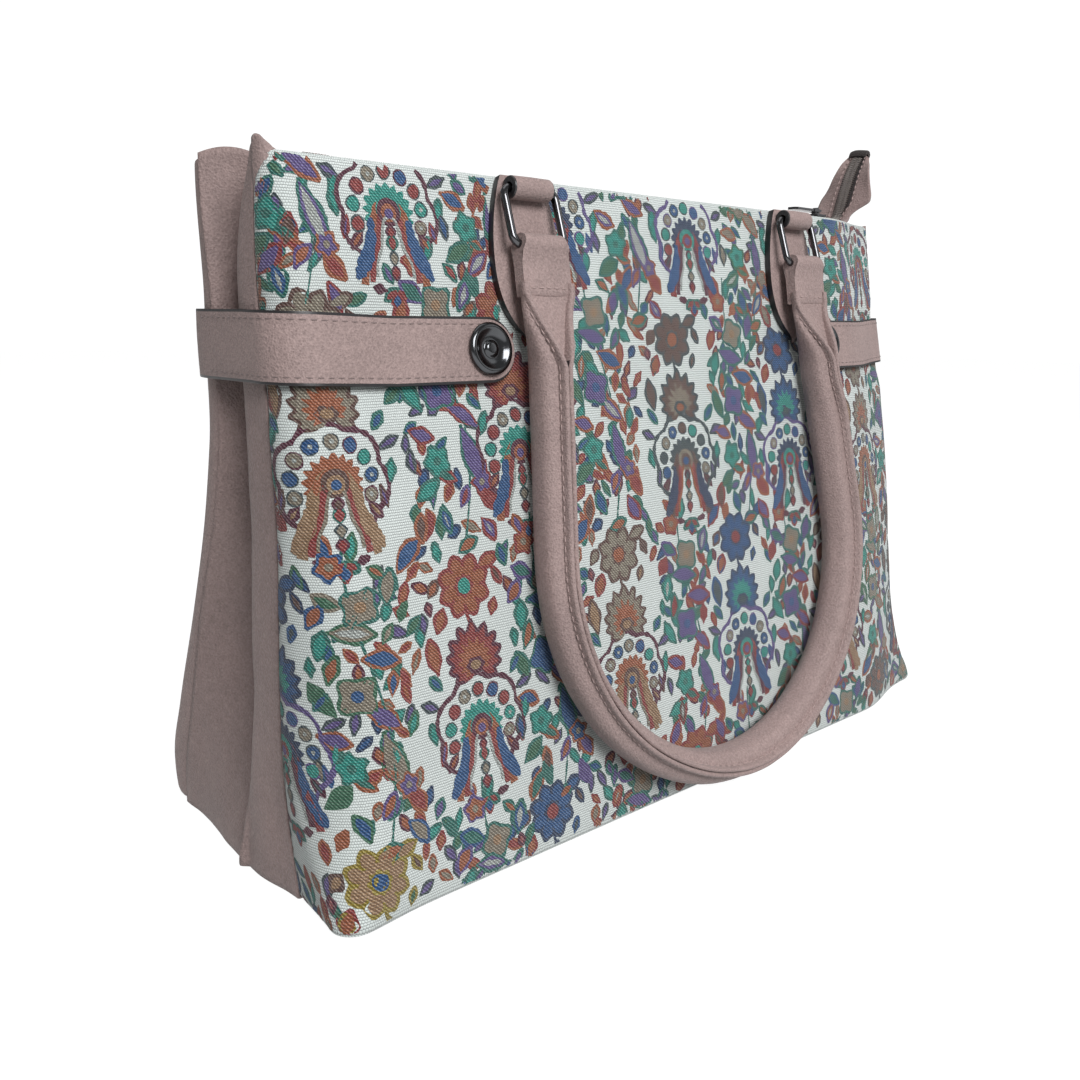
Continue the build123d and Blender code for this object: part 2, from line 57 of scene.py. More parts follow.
# Driving shape, in millimetres: each column is one height of the bag's outline
OUTLINE = {
    "z": [0.0, 2.5, 20.0, 50.0, 100.0, 150.0, 200.0, 235.0, 265.0, 288.0],
    "front_seam": [-38.0, -38.0, -34.0, -29.0, -27.9, -28.7, -23.4, -18.5, -17.5, -19.5],
    "front_corner": [8.0, 9.0, 19.0, 30.0, 28.0, 19.0, 15.5, 15.0, 11.0, 6.0],
    "fold": [-3.0, -3.0, -2.0, -2.0, -5.0, -7.4, -4.0, -2.0, -6.0, -15.0],
    "valley": [5.0, 5.0, 11.0, 21.0, 34.0, 38.0, 36.0, 32.0, 28.0, 24.0],
    "back_seam": [72.0, 72.0, 71.0, 62.0, 47.0, 27.5, 18.0, 15.5, 16.5, 16.0],
    "back_corner": [10.0, 10.0, 12.0, 14.0, 17.0, 20.0, 20.0, 18.0, 14.0, 11.0],
    "back": [87.0, 88.0, 92.0, 83.0, 65.0, 48.0, 38.5, 34.4, 30.8, 28.0],
}
FRONT_LEAN, BACK_LEAN = radians(10.0), radians(13.8)
FRONT_BASE, HALF_BASE, HALF_RIM, RIM = -76.4, 217.0, 212.5, 288.0
RIM_ROLL, RIM_TURN_IN = 2.0, 22.0
RING_SPACING, RING_WIDTH, RING_CORNER, RING_WIRE = 95.0, 28.4, 4.2, 1.8
STRAP_LOW, STRAP_HIGH, STRAP_END = 202.0, 230.0, 108.0
STRAP_GAP, STRAP_THICK = 0.6, 2.8
SNAP_HEIGHT, SNAP_X, CAP_RADIUS = 216.0, STRAP_END + (STRAP_HIGH - STRAP_LOW) / 2, 11.0
TAB_TOP = 281.0
HANDLE_END, TAPER_END, BEND, BEND_HEIGHT = 21.0, 53.0, 106.0, 120.0
CLOTH_SHEEN = dict(Sheen_Weight=0.25, Sheen_Roughness=0.5, Specular_IOR_Level=0.2)
# Black that the coloured cloth's dye is mixed towards between the twill lines, as painted shade
TWILL_SHADE = (0.012, 0.012, 0.016, 1.0)


def length(name, description, default, **limits):
    return bpy.props.FloatProperty(name=name, description=description, default=default, **limits)


def colour(name, description, *value):
    return bpy.props.FloatVectorProperty(name=name, description=description, default=value, size=3,
                                         subtype="COLOR", min=0, max=1)


class BagSizes(bpy.types.PropertyGroup):
    """Sizes that a user would change, in metres"""
    grid: length("Cloth grid", "Spacing of the cloth's mesh", 0.0026, min=0.001, unit="LENGTH")
    puff: length("Padding", "How far the padded panels stand out", 0.0022, min=0.0, unit="LENGTH")
    stitch_pitch: length("Stitch pitch", "From one stitch to the next", 0.0042, min=0.001, unit="LENGTH")
    stitch_width: length("Stitch width", "Thickness of the sewing thread", 0.0007, min=0.0002, unit="LENGTH")
    lens: length("Lens", "Focal length of the camera on its 36 mm sensor", 34.282, min=10.0)


class BagColours(bpy.types.PropertyGroup):
    """Colours that a user would change"""
    leather: colour("Leather", "Dusty mauve faux leather", 0.335, 0.245, 0.232)
    edge: colour("Edge paint and gap shade", "Painted strap and tab edges", 0.012, 0.011, 0.012)
    ground: colour("Cloth ground", "Off-white ground of the woven cloth", 0.75, 0.81, 0.79)
    lining: colour("Lining", "Plain lining cloth", 0.16, 0.11, 0.105)
    nickel: colour("Black nickel", "Rings, slider and puller", 0.10, 0.10, 0.105)
    zip: colour("Zip tape", "Dark zip tape and coil", 0.035, 0.026, 0.026)


def sizes():
    return bpy.context.scene.bag_sizes


def colours():
    return bpy.context.scene.bag_colours


def side_name(way):
    return "right" if way > 0 else "left"


def face_name(front):
    return "front" if front else "back"


# Numbers along curves
def ease(t):
    t = np.clip(t, 0, 1)
    return t * t * (3 - 2 * t)


def between(first, last, t):
    return first + (last - first) * t


def unit(vectors):
    return vectors / np.linalg.norm(vectors, axis=-1, keepdims=True)


def travelled(line):
    """How far along a line each of its points lies."""
    return np.concatenate([[0], np.cumsum(np.linalg.norm(np.diff(line, axis=0), axis=1))])


def sample(places, steps, line):
    return np.stack([np.interp(places, steps, values) for values in np.transpose(line)], axis=-1)


def wave(a, b, scale, seed):
    """A soft, seeded sum of sines, about -1 to 1."""
    dice = np.random.default_rng(seed)
    total = np.zeros_like(np.asarray(a, float) + np.asarray(b, float))
    for octave in range(4):
        turn, phase = dice.uniform(0, 2 * pi), dice.uniform(0, 2 * pi)
        rate = 2 * pi / scale * (1 + 0.6 * octave)
        total += np.sin(rate * (a * cos(turn) + b * sin(turn)) + phase) / (1 + 0.8 * octave)
    return total / 2.4


# Smooth outline values between the columns of the driving shape
def smooth(name, z):
    heights, values = np.array(OUTLINE["z"]), np.array(OUTLINE[name])
    slopes = np.gradient(values, heights)
    z = np.clip(np.asarray(z, float), heights[0], heights[-1])
    i = np.clip(np.searchsorted(heights, z, side="right") - 1, 0, len(heights) - 2)
    step = heights[i + 1] - heights[i]
    t = (z - heights[i]) / step
    return ((1 + 2 * t) * (1 - t) ** 2 * values[i] + t * (1 - t) ** 2 * step * slopes[i]
            + t * t * (3 - 2 * t) * values[i + 1] + t * t * (t - 1) * step * slopes[i + 1])


def half_length(z):
    return HALF_BASE + (HALF_RIM - HALF_BASE) * np.asarray(z, float) / RIM


def front_y(z):
    return FRONT_BASE + np.asarray(z, float) * tan(FRONT_LEAN)


# The back's corners flare out towards the rim
def flare(z):
    return 3.2 * ease((z - 176.0) / 50.0) + 2.8 * ease((z - 226.0) / 62.0)


# A panel's horizontal path: lengths of its flat half, corner and side run, its corner's radius
# and the y of its middle
def panel_lengths(front, z):
    corner = smooth(face_name(front) + "_corner", z)
    seam = smooth(face_name(front) + "_seam", z)
    reach = front_y(z) if front else smooth("back", z)
    flat = half_length(z) - (0.0 if front else 1.5 - flare(z)) - corner
    return flat, corner * pi / 2, np.maximum(np.abs(seam - reach) - corner, 0.0), corner, reach


# Points and outward normals (mm) of a panel at signed path lengths s and heights z
def panel_surface(front, s, z, stand=0.0):
    s, z = np.broadcast_arrays(np.asarray(s, float), np.asarray(z, float))
    flat, arc, run, corner, reach = panel_lengths(front, z)
    way = 1.0 if front else -1.0
    along = np.abs(s)
    angle = np.clip((along - flat) / corner, 0.0, pi / 2)
    x = np.minimum(along, flat) + corner * np.sin(angle)
    y = reach + way * (corner * (1 - np.cos(angle)) + np.maximum(along - flat - arc, 0.0))
    lean = np.cos(angle) * (tan(FRONT_LEAN) if front else 0.0)
    normal = unit(np.stack([np.sign(s) * np.sin(angle), -way * np.cos(angle), lean], axis=-1))
    return np.stack([np.sign(s) * x, y, z], axis=-1) + normal * np.asarray(stand, float)[..., None], normal


# The strap and the closed end of the zip draw the front's right end in towards the middle
def nip(points):
    points = np.array(points, float)
    x, y, z = points.T
    rising = 0.20 + 0.49 * (np.clip(z, 0, RIM) / RIM) ** 3
    share = rising * ease((x - 140.0) / 72.0) * (1 - ease((z - 293.0) / 9.0))
    points[:, 1] = np.where(y < 0, y * (1 - share), y)
    return points


# 1 where a strap or a ring tab lies on the front, easing to 0 around it
def near(distance, fade):
    return 1 - ease(distance / fade)


def under_strap(s, z):
    level = near(np.maximum(np.abs(z - SNAP_HEIGHT) - 14.0, 0), 16.0)
    return level * near(np.maximum(STRAP_END - np.abs(s), 0), 14.0)


def under_tab(s, z):
    across = np.maximum(np.abs(np.abs(s) - RING_SPACING) - 17.0, 0)
    return near(np.hypot(across, np.maximum(222.0 - z, 0)), 15.0)


# How far a padded panel stands out, in millimetres: fuller in the middle, pulled in at seams and rim
def puff(front, s, z):
    flat, arc, run = panel_lengths(front, z)[:3]
    seam = 1 - np.exp(-np.maximum(flat + arc + run - np.abs(s), 0) / 4.0)
    belly = (sizes().puff / MM if front else 1.5) * np.sin(pi * np.clip(z / RIM, 0, 1)) ** 0.6
    if not front:
        return (belly + 0.7 * wave(s, z, 150.0, 21)) * seam - (1 - seam)
    rim = (1 - np.exp(-(RIM - z) / 6.0)) * (1 - np.exp(-z / 9.0))
    dents = 0.7 * wave(s, z, 170.0, 3) + 0.35 * wave(s, z, 62.0, 8)
    ear = 3.2 * np.exp(-((np.abs(s) - flat - 3.0) / 20.0) ** 2 - (z / 22.0) ** 2)
    free = 1 - np.maximum(under_strap(s, z), under_tab(s, z))
    return (belly + dents) * seam * rim * free - 1.2 * (1 - seam) - 0.15 * (1 - free) + ear


# The cloth stops short of the side seam at the top corners, where the gusset's ear shows
def corner_cut(z, arc, run):
    return 0.62 * (arc + run + 1.5) * ease((z - 270.0) / 18.0) ** 1.5


# Only the left end stands open
def left_more(side):
    return np.where(np.asarray(side) < 0, 1.0, 0.1)


# Mesh helpers: points are in millimetres and everything is made at the origin
def mesh_piece(name, points, faces, materials, uv=None, marks=None, angle=50.0):
    mesh = bpy.data.meshes.new(name)
    mesh.from_pydata([tuple(p) for p in np.asarray(points, float) * MM], [], faces)
    piece = bpy.data.objects.new(name, mesh)
    bpy.context.scene.collection.objects.link(piece)
    for finish in materials:
        mesh.materials.append(finish)
    if marks is not None:
        mesh.polygons.foreach_set("material_index", np.asarray(marks, np.int32))
    if uv is not None:
        layer = mesh.uv_layers.new(name="cloth")
        loops = np.zeros(len(mesh.loops), np.int32)
        mesh.loops.foreach_get("vertex_index", loops)
        layer.data.foreach_set("uv", (np.asarray(uv, float) * MM)[loops].astype(np.float32).ravel())
    mesh.update()
    select_only(piece)
    bpy.ops.object.shade_smooth_by_angle(angle=radians(angle))
    return piece


def select_only(piece):
    for other in bpy.context.selected_objects:
        other.select_set(False)
    bpy.context.view_layer.objects.active = piece
    piece.select_set(True)


def shaped(piece, kind, **settings):
    """Adds a modifier with its settings and applies it."""
    modifier = piece.modifiers.new(kind.title(), kind)
    for name, value in settings.items():
        setattr(modifier, name, value)
    select_only(piece)
    bpy.ops.object.modifier_apply(modifier=modifier.name)
    return piece


def thicken(piece, thickness, offset=-1.0, rim_material=0):
    return shaped(piece, "SOLIDIFY", thickness=thickness * MM, offset=offset, use_even_offset=True,
                  material_offset_rim=rim_material)


def soften(piece, width, segments, angle):
    return shaped(piece, "BEVEL", width=width * MM, segments=segments, limit_method="ANGLE",
                  angle_limit=radians(angle))


def face_out(piece):
    select_only(piece)
    bpy.ops.object.mode_set(mode="EDIT")
    bpy.ops.mesh.select_all(action="SELECT")
    bpy.ops.mesh.remove_doubles(threshold=0.00001)
    bpy.ops.mesh.normals_make_consistent(inside=False)
    bpy.ops.object.mode_set(mode="OBJECT")
    return piece


def grid_faces(rows, columns, close_rows=False, close_columns=False, flip=False):
    faces = []
    for i in range(rows if close_rows else rows - 1):
        for j in range(columns if close_columns else columns - 1):
            below, above, beside = i * columns, (i + 1) % rows * columns, (j + 1) % columns
            face = (below + j, below + beside, above + beside, above + j)
            faces.append((face[0],) + face[:0:-1] if flip else face)
    return faces


# Faces round a closed tube of rows, with a face over its first row and its last
def tube_faces(rows, columns, flip=False, last_cap=True):
    first = tuple(range(columns))
    last = tuple((rows - 1) * columns + i for i in first)
    caps = [first, last[::-1]] if flip else [first[::-1], last]
    return grid_faces(rows, columns, close_columns=True, flip=flip) + caps[:2 if last_cap else 1]


# A primitive's points and faces, as a model that is copied or bent
def primitive(add, **settings):
    add(**settings)
    model = bpy.context.active_object
    shape = np.array([v.co for v in model.data.vertices])
    faces = [tuple(p.vertices) for p in model.data.polygons]
    bpy.data.objects.remove(model)
    return shape, faces


def repeated(faces, step, count):
    return [tuple(k * step + i for i in face) for k in range(count) for face in faces]


def join(pieces, name):
    select_only(pieces[0])
    for piece in pieces[1:]:
        piece.select_set(True)
    bpy.ops.object.join()
    pieces[0].name = pieces[0].data.name = name
    return pieces[0]


# Moves a piece that was made on its own plane to where the plane lies
def put(piece, plane):
    piece.data.transform(Matrix.Scale(MM, 4) @ plane @ Matrix.Scale(1 / MM, 4))
    return piece


def done(piece, body, slot, *nodes):
    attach(piece, body)
    if nodes:
        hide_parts(*nodes)
    return piece


# Shader helpers
class Nodes:
    """Adds and links the nodes of one material or group."""

    def __init__(self, tree):
        self.tree = tree
        tree.nodes.clear()

    def add(self, kind, inputs=None, **settings):
        node = self.tree.nodes.new(kind)
        for name, value in settings.items():
            setattr(node, name, value)
        for key, value in (inputs or {}).items():
            self.set(node, key, value)
        return node

    def set(self, node, key, value):
        if isinstance(value, bpy.types.NodeSocket):
            self.tree.links.new(value, node.inputs[key])
        else:
            node.inputs[key].default_value = value

    def math(self, operation, *values):
        return self.add("ShaderNodeMath", dict(enumerate(values)), operation=operation).outputs[0]

    def plus(self, total, *values):
        for value in values:
            total = self.math("ADD", total, value)
        return total

    def times(self, first, second):
        return self.math("MULTIPLY", first, second)

    def sine(self, value, rate):
        return self.math("SINE", self.times(value, rate))

    def mix(self, factor, first, second):
        return self.add("ShaderNodeMix", {0: factor, 6: first, 7: second}, data_type="RGBA").outputs[2]

    def noise(self, place, scale, detail, roughness=0.5):
        inputs = {"Vector": place, "Scale": scale, "Detail": detail, "Roughness": roughness}
        return self.add("ShaderNodeTexNoise", inputs).outputs["Fac"]

    def toned(self, base, factor):
        return self.add("ShaderNodeVectorMath", {0: base, "Scale": factor}, operation="SCALE").outputs[0]

    def place(self):
        return self.add("ShaderNodeTexCoord").outputs["Object"]

    def cloth_place(self):
        return self.add("ShaderNodeUVMap", uv_map="cloth").outputs["UV"]

    def split(self, vector):
        return self.add("ShaderNodeSeparateXYZ", {"Vector": vector}).outputs

    def bump(self, height, strength, distance):
        return self.add("ShaderNodeBump", {"Height": height, "Strength": strength,
                                           "Distance": distance}).outputs[0]

    def finish(self, base, roughness, **settings):
        shader = self.add("ShaderNodeBsdfPrincipled", {"Base Color": base, "Roughness": roughness})
        for name, value in settings.items():
            self.set(shader, name.replace("_", " "), value)
        self.set(self.add("ShaderNodeOutputMaterial"), 0, shader.outputs[0])


def shared_group(name, inputs, outputs, build):
    group = bpy.data.node_groups.get(name)
    if group is None:
        group = bpy.data.node_groups.new(name, "ShaderNodeTree")
        for way, sockets in (("INPUT", inputs), ("OUTPUT", outputs)):
            for label, kind, *value in sockets:
                socket = group.interface.new_socket(label, in_out=way, socket_type="NodeSocket" + kind)
                if value:
                    socket.default_value = value[0]
        n = Nodes(group)
        made = build(n, n.add("NodeGroupInput").outputs)
        n.add("NodeGroupOutput", made)
    return group


def material(name, build):
    if name not in bpy.data.materials:
        made = bpy.data.materials.new(name)
        made.use_nodes = True
        build(Nodes(made.node_tree))
    return bpy.data.materials[name]


def rgba(shade, scale=1.0):
    return (shade[0] * scale, shade[1] * scale, shade[2] * scale, 1.0)


# Fine pebbled grain with soft blotches of lighter and darker leather
def grain_group():
    def build(n, given):
        place = n.place()
        cells = n.add("ShaderNodeTexVoronoi", {"Vector": place, "Scale": 1150.0},
                      feature="F1").outputs["Distance"]
        fine, broad = n.noise(place, 900.0, 3.0, 0.6), n.noise(place, 26.0, 3.0, 0.55)
        spots = n.noise(place, 180.0, 2.0, 0.6)
        shade = n.times(n.plus(n.times(broad, 1.3), n.times(spots, 0.7), -1.0), given["Blotches"])
        factor = n.plus(1.0, shade, n.times(n.plus(fine, -0.5), 0.95), n.times(n.plus(cells, -0.45), 0.3))
        return {"Colour": n.toned(given["Colour"], factor),
                "Height": n.plus(n.times(cells, 0.55), n.times(fine, 0.6)),
                "Roughness": n.plus(0.52, n.times(broad, 0.16))}
    return shared_group("Leather grain", [("Blotches", "Float", 0.3), ("Colour", "Color")],
                        [("Colour", "Color"), ("Height", "Float"), ("Roughness", "Float")], build)


# Thread rows of a woven cloth in the cloth's own UV: picks across, each shifted by half a float. Gap and
# Twill are also the masks for the woven finishes' painted shade in the thread gaps and between the twill
# lines
def weave_group():
    def build(n, given):
        uv = n.cloth_place()
        wobble = n.plus(n.noise(uv, 420.0, 1.0), -0.5)
        x, y = n.split(uv)[:2]
        drift = n.times(wobble, 0.0005)
        across = n.math("DIVIDE", n.plus(x, drift), given["End"])
        up = n.math("DIVIDE", n.plus(y, drift), given["Pick"])
        rib = n.sine(n.math("FRACT", up), pi)
        shifted = n.plus(across, n.times(n.math("FLOOR", up), given["Step"]))
        float_ = n.math("POWER", n.sine(n.math("FRACT", shifted), pi), 0.5)
        height = n.times(n.math("POWER", rib, 0.6), n.plus(0.12, n.times(float_, 0.88)))
        twill = n.math("FRACT", n.plus(n.times(x, 610.0), n.times(y, 560.0)))
        twill = n.math("GREATER_THAN", n.plus(twill, n.times(wobble, 0.9)), 0.60)
        return {"Height": height, "Gap": n.math("SUBTRACT", 1.0, height), "Twill": twill}
    return shared_group("Woven threads", [("Pick", "Float", 0.00105), ("End", "Float", 0.00095),
                                          ("Step", "Float", 0.5)],
                        [("Height", "Float"), ("Gap", "Float"), ("Twill", "Float")], build)


def leather(name="Mauve leather", tone=1.0, blotches=0.3):
    def build(n):
        inputs = {"Blotches": blotches, "Colour": rgba(colours().leather, tone)}
        grain = n.add("ShaderNodeGroup", node_tree=grain_group())
        for key, value in inputs.items():
            n.set(grain, key, value)
        grain = grain.outputs
        n.finish(grain["Colour"], grain["Roughness"], Normal=n.bump(grain["Height"], 0.9, 0.0005),
                 Sheen_Weight=0.12,
                 Sheen_Roughness=0.5, Specular_IOR_Level=0.35)
    return material(name, build)


# A finish that one noise varies from a darker tone to a lighter one
def speckled(name, shade, tones, scale, detail, roughness, strength, distance, streak=0.0, **settings):
    def build(n):
        noise = n.noise(n.place(), scale, detail)
        rough = n.plus(roughness, n.times(noise, streak)) if streak else roughness
        n.finish(n.mix(noise, rgba(shade, tones[0]), rgba(shade, tones[1])), rough,
                 Normal=n.bump(noise, strength, distance), **settings)
    return material(name, build)


def edge_paint_and_gap_shade():
    return speckled("Edge paint and gap shade", colours().edge, (1.0, 2.2), 700.0, 2.0, 0.38, 0.3, 0.0001)


def metal(name, shade, roughness, streak):
    return speckled(name, shade, (0.85, 1.2), 260.0, 3.0, roughness, 0.05, 0.00005, streak, Metallic=1.0)


def nickel():
    return metal("Black nickel", colours().nickel, 0.09, 0.10)


def gunmetal():
    return metal("Gunmetal", (0.085, 0.088, 0.093), 0.12, 0.08)


def thread(name="Sewing thread", tone=1.2):
    return speckled(name, colours().leather, (tone * 0.8, tone * 1.25), 1600.0, 1.0, 0.6, 0.5, 0.0002,
                    Sheen_Weight=0.2)


def woven(name, coloured):
    def build(n):
        threads = n.add("ShaderNodeGroup", node_tree=weave_group()).outputs
        uv = n.cloth_place()
        soil, speckle = n.noise(uv, 22.0, 4.0), n.noise(uv, 1500.0, 1.0)
        base, ground = None, rgba(colours().ground)
        if coloured:
            dye = n.add("ShaderNodeAttribute", attribute_name="dye").outputs["Color"]
            # Along the twill lines the dye takes in some of the ground thread; between them it is a darker
            # copy of the dye mixed towards black, painted shade
            base = n.mix(threads["Twill"], n.mix(0.52, dye, TWILL_SHADE), n.mix(0.17, dye, ground))
            # Painted shade in the gaps between the threads: the coloured cloth goes near-black where the
            # threads dip
            deep = n.mix(0.82, base, (0.014, 0.013, 0.016, 1.0))
            base = n.mix(n.times(threads["Gap"], 0.75), base, deep)
        else:
            # Painted shade in the gaps between the picks: the ground goes to dark grey where the threads dip
            base = n.mix(n.math("POWER", threads["Gap"], 2.2), ground, (0.115, 0.125, 0.13, 1.0))
        factor = n.plus(0.84, n.times(soil, 0.16), n.times(speckle, 0.16))
        n.finish(n.toned(base, factor), 0.82, Normal=n.bump(threads["Height"], 0.8, 0.00035), **CLOTH_SHEEN)
    return material(name, build)


def plain_cloth(name, shade, scale=1.0):
    def build(n):
        place = n.place()
        x, _, z = n.split(place)
        height = n.times(n.sine(x, 9000.0 * scale), n.sine(z, 9000.0 * scale))
        tone = n.plus(n.times(n.noise(place, 60.0, 4.0), 0.5), n.times(height, 0.12))
        n.finish(n.mix(tone, rgba(shade, 0.75), rgba(shade, 1.3)), 0.8, Normal=n.bump(height, 0.4, 0.0002),
                 Sheen_Weight=0.2)
    return material(name, build)


# A row of stitches along a path of points and normals (mm): one stitch is modelled and copied
def stitches(name, points, normals, finish, pitch=None):
    pitch, width = pitch or sizes().stitch_pitch / MM, sizes().stitch_width / MM
    along = travelled(points)
    count = max(int((along[-1] - 1.0) / pitch), 1)
    start = (along[-1] - count * pitch) / 2
    shape, faces = primitive(bpy.ops.mesh.primitive_uv_sphere_add, segments=6, ring_count=5, radius=1.0)
    local = shape * [pitch * 0.72 / 2, width / 2, width / 2]
    placed = []
    for middle in start + (np.arange(count) + 0.5) * pitch:
        ahead = sample(middle + 0.3, along, points) - sample(middle - 0.3, along, points)
        ahead /= max(np.linalg.norm(ahead), 1e-9)
        up = sample(middle, along, normals)
        up = unit(up - ahead * up.dot(ahead))
        placed.append(sample(middle, along, points) + local @ [ahead, np.cross(up, ahead), up])
    return mesh_piece(name, np.concatenate(placed), repeated(faces, len(shape), count), [finish])


# Front and back panels: the cloth turns over the rim, runs down, and turns under the base
def panel_rows():
    rows = [(1.0, -9.0), (0.5, -5.5), (0.6, -3.0), (1.5, -1.2), (3.0, -0.4), (5.2, 0.0)]
    rows += [(z, 0.0) for z in np.linspace(8.0, RIM - 5.0, int((RIM - 15.0) / (sizes().grid / MM)))]
    rows += [(RIM - RIM_ROLL + RIM_ROLL * sin(a), RIM_ROLL * cos(a) - RIM_ROLL)
             for a in np.linspace(0.0, pi, 9)]
    return rows + [(z, -2 * RIM_ROLL) for z in np.linspace(RIM - 5.0, RIM - RIM_TURN_IN, 7)]


def panel(front, finish):
    rows = panel_rows()
    side = np.linspace(0.805, 1.0, 34)
    shares = np.concatenate([-side[::-1], np.linspace(-0.80, 0.80, int(380.0 / (sizes().grid / MM))), side])
    points, uv = [], []
    for z, stand in rows:
        flat, arc, run = panel_lengths(front, z)[:3]
        s = shares * (flat + arc + run - (corner_cut(z, arc, run) * left_more(shares) if front else 0.0))
        extra = puff(front, s, z) if stand > -1.5 else 0.0
        points.append(panel_surface(front, s, z, stand + extra)[0])
        uv.append(np.stack([s, np.full_like(s, (z - stand) / (cos(FRONT_LEAN) if front else 1.0))], axis=-1))
    piece = mesh_piece(face_name(front) + "_cover", nip(np.concatenate(points)),
                       grid_faces(len(rows), len(shares), flip=not front), [finish], np.concatenate(uv))
    thicken(piece, 0.9)
    return piece


# A line through corners that are rounded off, in even steps, and its length
def rounded_line(corners, radii, count):
    pieces, start = [], corners[0]
    for before, corner, after, radius in zip(corners, corners[1:], corners[2:], radii):
        first, second = unit(corner - before), unit(after - corner)
        turn = acos(np.clip(first.dot(second), -1, 1))
        reach = min(radius * tan(turn / 2), 0.45 * np.linalg.norm(corner - before),
                    0.45 * np.linalg.norm(after - corner))
        enter, leave = corner - first * reach, corner + second * reach
        t = np.linspace(0, 1, 12, endpoint=False)[:, None]
        pieces += [np.linspace(start, enter, 12, endpoint=False),
                   (1 - t) ** 2 * enter + 2 * t * (1 - t) * corner + t * t * leave]
        start = leave
    line = np.concatenate(pieces + [np.linspace(start, corners[-1], 14)])
    along = travelled(line)
    return sample(np.linspace(0, along[-1], count), along, line), along[-1]


# The gusset at one height, from the front seam over its fold and into the valley to the back seam
def gusset_line(z, count, radii, inset=0.0, seams=(0.6, 1.0, 0.0, 1.5), back=0.0):
    half, fold = half_length(z), smooth("fold", z)
    corners = np.array([[seams[0], smooth("front_seam", z)], [seams[1], fold - inset * 0.9],
                        [smooth("valley", z) + seams[2], fold + 9.0 - inset * 0.25],
                        [seams[3] - flare(z), smooth("back_seam", z) + back]], float)
    corners[:, 0] += inset - half
    return rounded_line(corners, radii, count)


def gusset(way, finish):
    heights = np.concatenate([[0.3, 0.35], np.linspace(0.8, RIM - 1.0, 120)])
    count = 64
    t = np.linspace(0, 1, count)
    points = []
    for row, z in enumerate(heights):
        line, reach = gusset_line(max(z, 0.8), count, (5.0, 4.0))
        ahead = np.gradient(line, axis=0)
        normal = unit(np.stack([-ahead[:, 1], ahead[:, 0]], axis=-1))
        seam = 1 - np.exp(-np.minimum(t, 1 - t) * reach / 3.0)
        soft = 1.3 * np.sin(pi * np.clip(t / 0.32, 0, 1)) * np.sin(pi * np.clip(z / RIM, 0, 1)) ** 0.5
        soft = soft + (0.55 * wave(t * reach, z, 75.0, 31) + 0.25 * wave(t * reach, z, 28.0, 33)) * seam
        moved = line + normal * (soft + (-3.2, -1.0, 0)[min(row, 2)])[:, None]
        y = line[:, 1]
        low = 3.6 * ease((y + 36.0) / 26.0) * (1 - ease((y + 2.0) / 6.0))
        low = low + 7.5 * ease((y + 3.0) / 5.0) * (1 - ease((y - 2.0) / 62.0))
        moved[:, 0] -= np.exp(-(z / 42.0) ** 2) * low
        up = 4.6 * left_more(way) * np.exp(-((y + 21.0) / 4.5) ** 2) * ease((z - 262.0) / 26.0)
        crest = 3.8 * np.sin(pi * np.clip((y - 1.0) / 17.0, 0, 1)) + 1.0
        up = up + crest * ease((z - 250.0) / 38.0) * ease((-186.0 - moved[:, 0]) / 9.0) * (y > -12)
        points.append(np.column_stack([moved, z + up]))
    points = np.concatenate(points) * [-way, 1, 1]
    name = "gusset_cover_" + side_name(way)
    piece = mesh_piece(name, nip(points), grid_faces(len(heights), count, flip=way < 0), [finish], angle=70)
    return join([thicken(piece, 1.3), corner_ear(way, finish)], name)


# Where the cloth stops at a top corner, the gusset's leather wraps forward and rises to a soft peak
def corner_ear(way, finish):
    rows, columns = np.linspace(0, 1, 18), np.linspace(0, 1, 15)
    points = []
    for t in rows:
        base = between(262.0, RIM, t)
        flat, arc, run = panel_lengths(True, base)[:3]
        for c in columns:
            stand = -1.0 + 0.9 * ease((c - 0.15) / 0.5) * ease((base - 268.0) / 16.0)
            p, _ = panel_surface(True, flat - 4.0 + (arc + run + 4.2) * c, base, stand)
            peak = 4.6 * left_more(way) * np.exp(-((c - 0.82) / 0.34) ** 2) - 2.4 * (1 - ease(c / 0.45))
            points.append([way * p[0], p[1], base + peak * ease((t - 0.2) / 0.8)])
    faces = grid_faces(len(rows), len(columns), flip=way < 0)
    return thicken(mesh_piece("ear", nip(points), faces, [finish], angle=70), 1.2)


# The whole outline at one height as a closed line, seen from above and moved in by an inset
def bag_outline(z, inset):
    sides = []
    for front in (True, False):
        flat, arc = panel_lengths(front, z)[:2]
        sides.append(panel_surface(front, np.linspace(-1, 1, 60) * (flat + arc * 0.9), z, -inset)[0][:, :2])
    left, _ = gusset_line(z, 26, (3.0, 3.0), inset, (1.2, 1.6, 1.6, 2.6), 1.0)
    outline = np.concatenate([sides[0], left * [-1, 1], sides[1][::-1], left[::-1]])
    return np.column_stack([outline, np.full(len(outline), z)])


def lining(finish):
    low, wall = 6.4, np.linspace(9.4, 262.0, 46)
    rows = []
    for i, (z, share) in enumerate([(low, 0.28), (low, 0.6), (low, 0.9), (low, 0.975)]
                                   + [(z, 1.0) for z in wall]):
        line = bag_outline(z, 4.6)
        centre = line.mean(axis=0)
        line = centre + (line - centre) * [share, share, 1]
        if i > 6:
            turn = np.linspace(0, 2 * pi, len(line), endpoint=False)
            ripple = np.abs(0.8 * wave(np.cos(turn) * 120, z, 60.0, 41))[:, None]
            line[:, :2] -= (line - centre)[:, :2] / 100.0 * ripple
        rows.append(line)
    faces = tube_faces(len(rows), len(rows[0]), last_cap=False)
    return thicken(mesh_piece("lining_bag", nip(np.concatenate(rows)), faces, [finish], angle=60), 0.5,
                   offset=1.0)


# A slab that follows the outline, from rows of height and inset
def slab(name, rows, finish, flip=False):
    outlines = [bag_outline(z, inset) for z, inset in rows]
    faces = tube_faces(len(rows), len(outlines[0]), flip)
    return mesh_piece(name, nip(np.concatenate(outlines)), faces, [finish], angle=40)


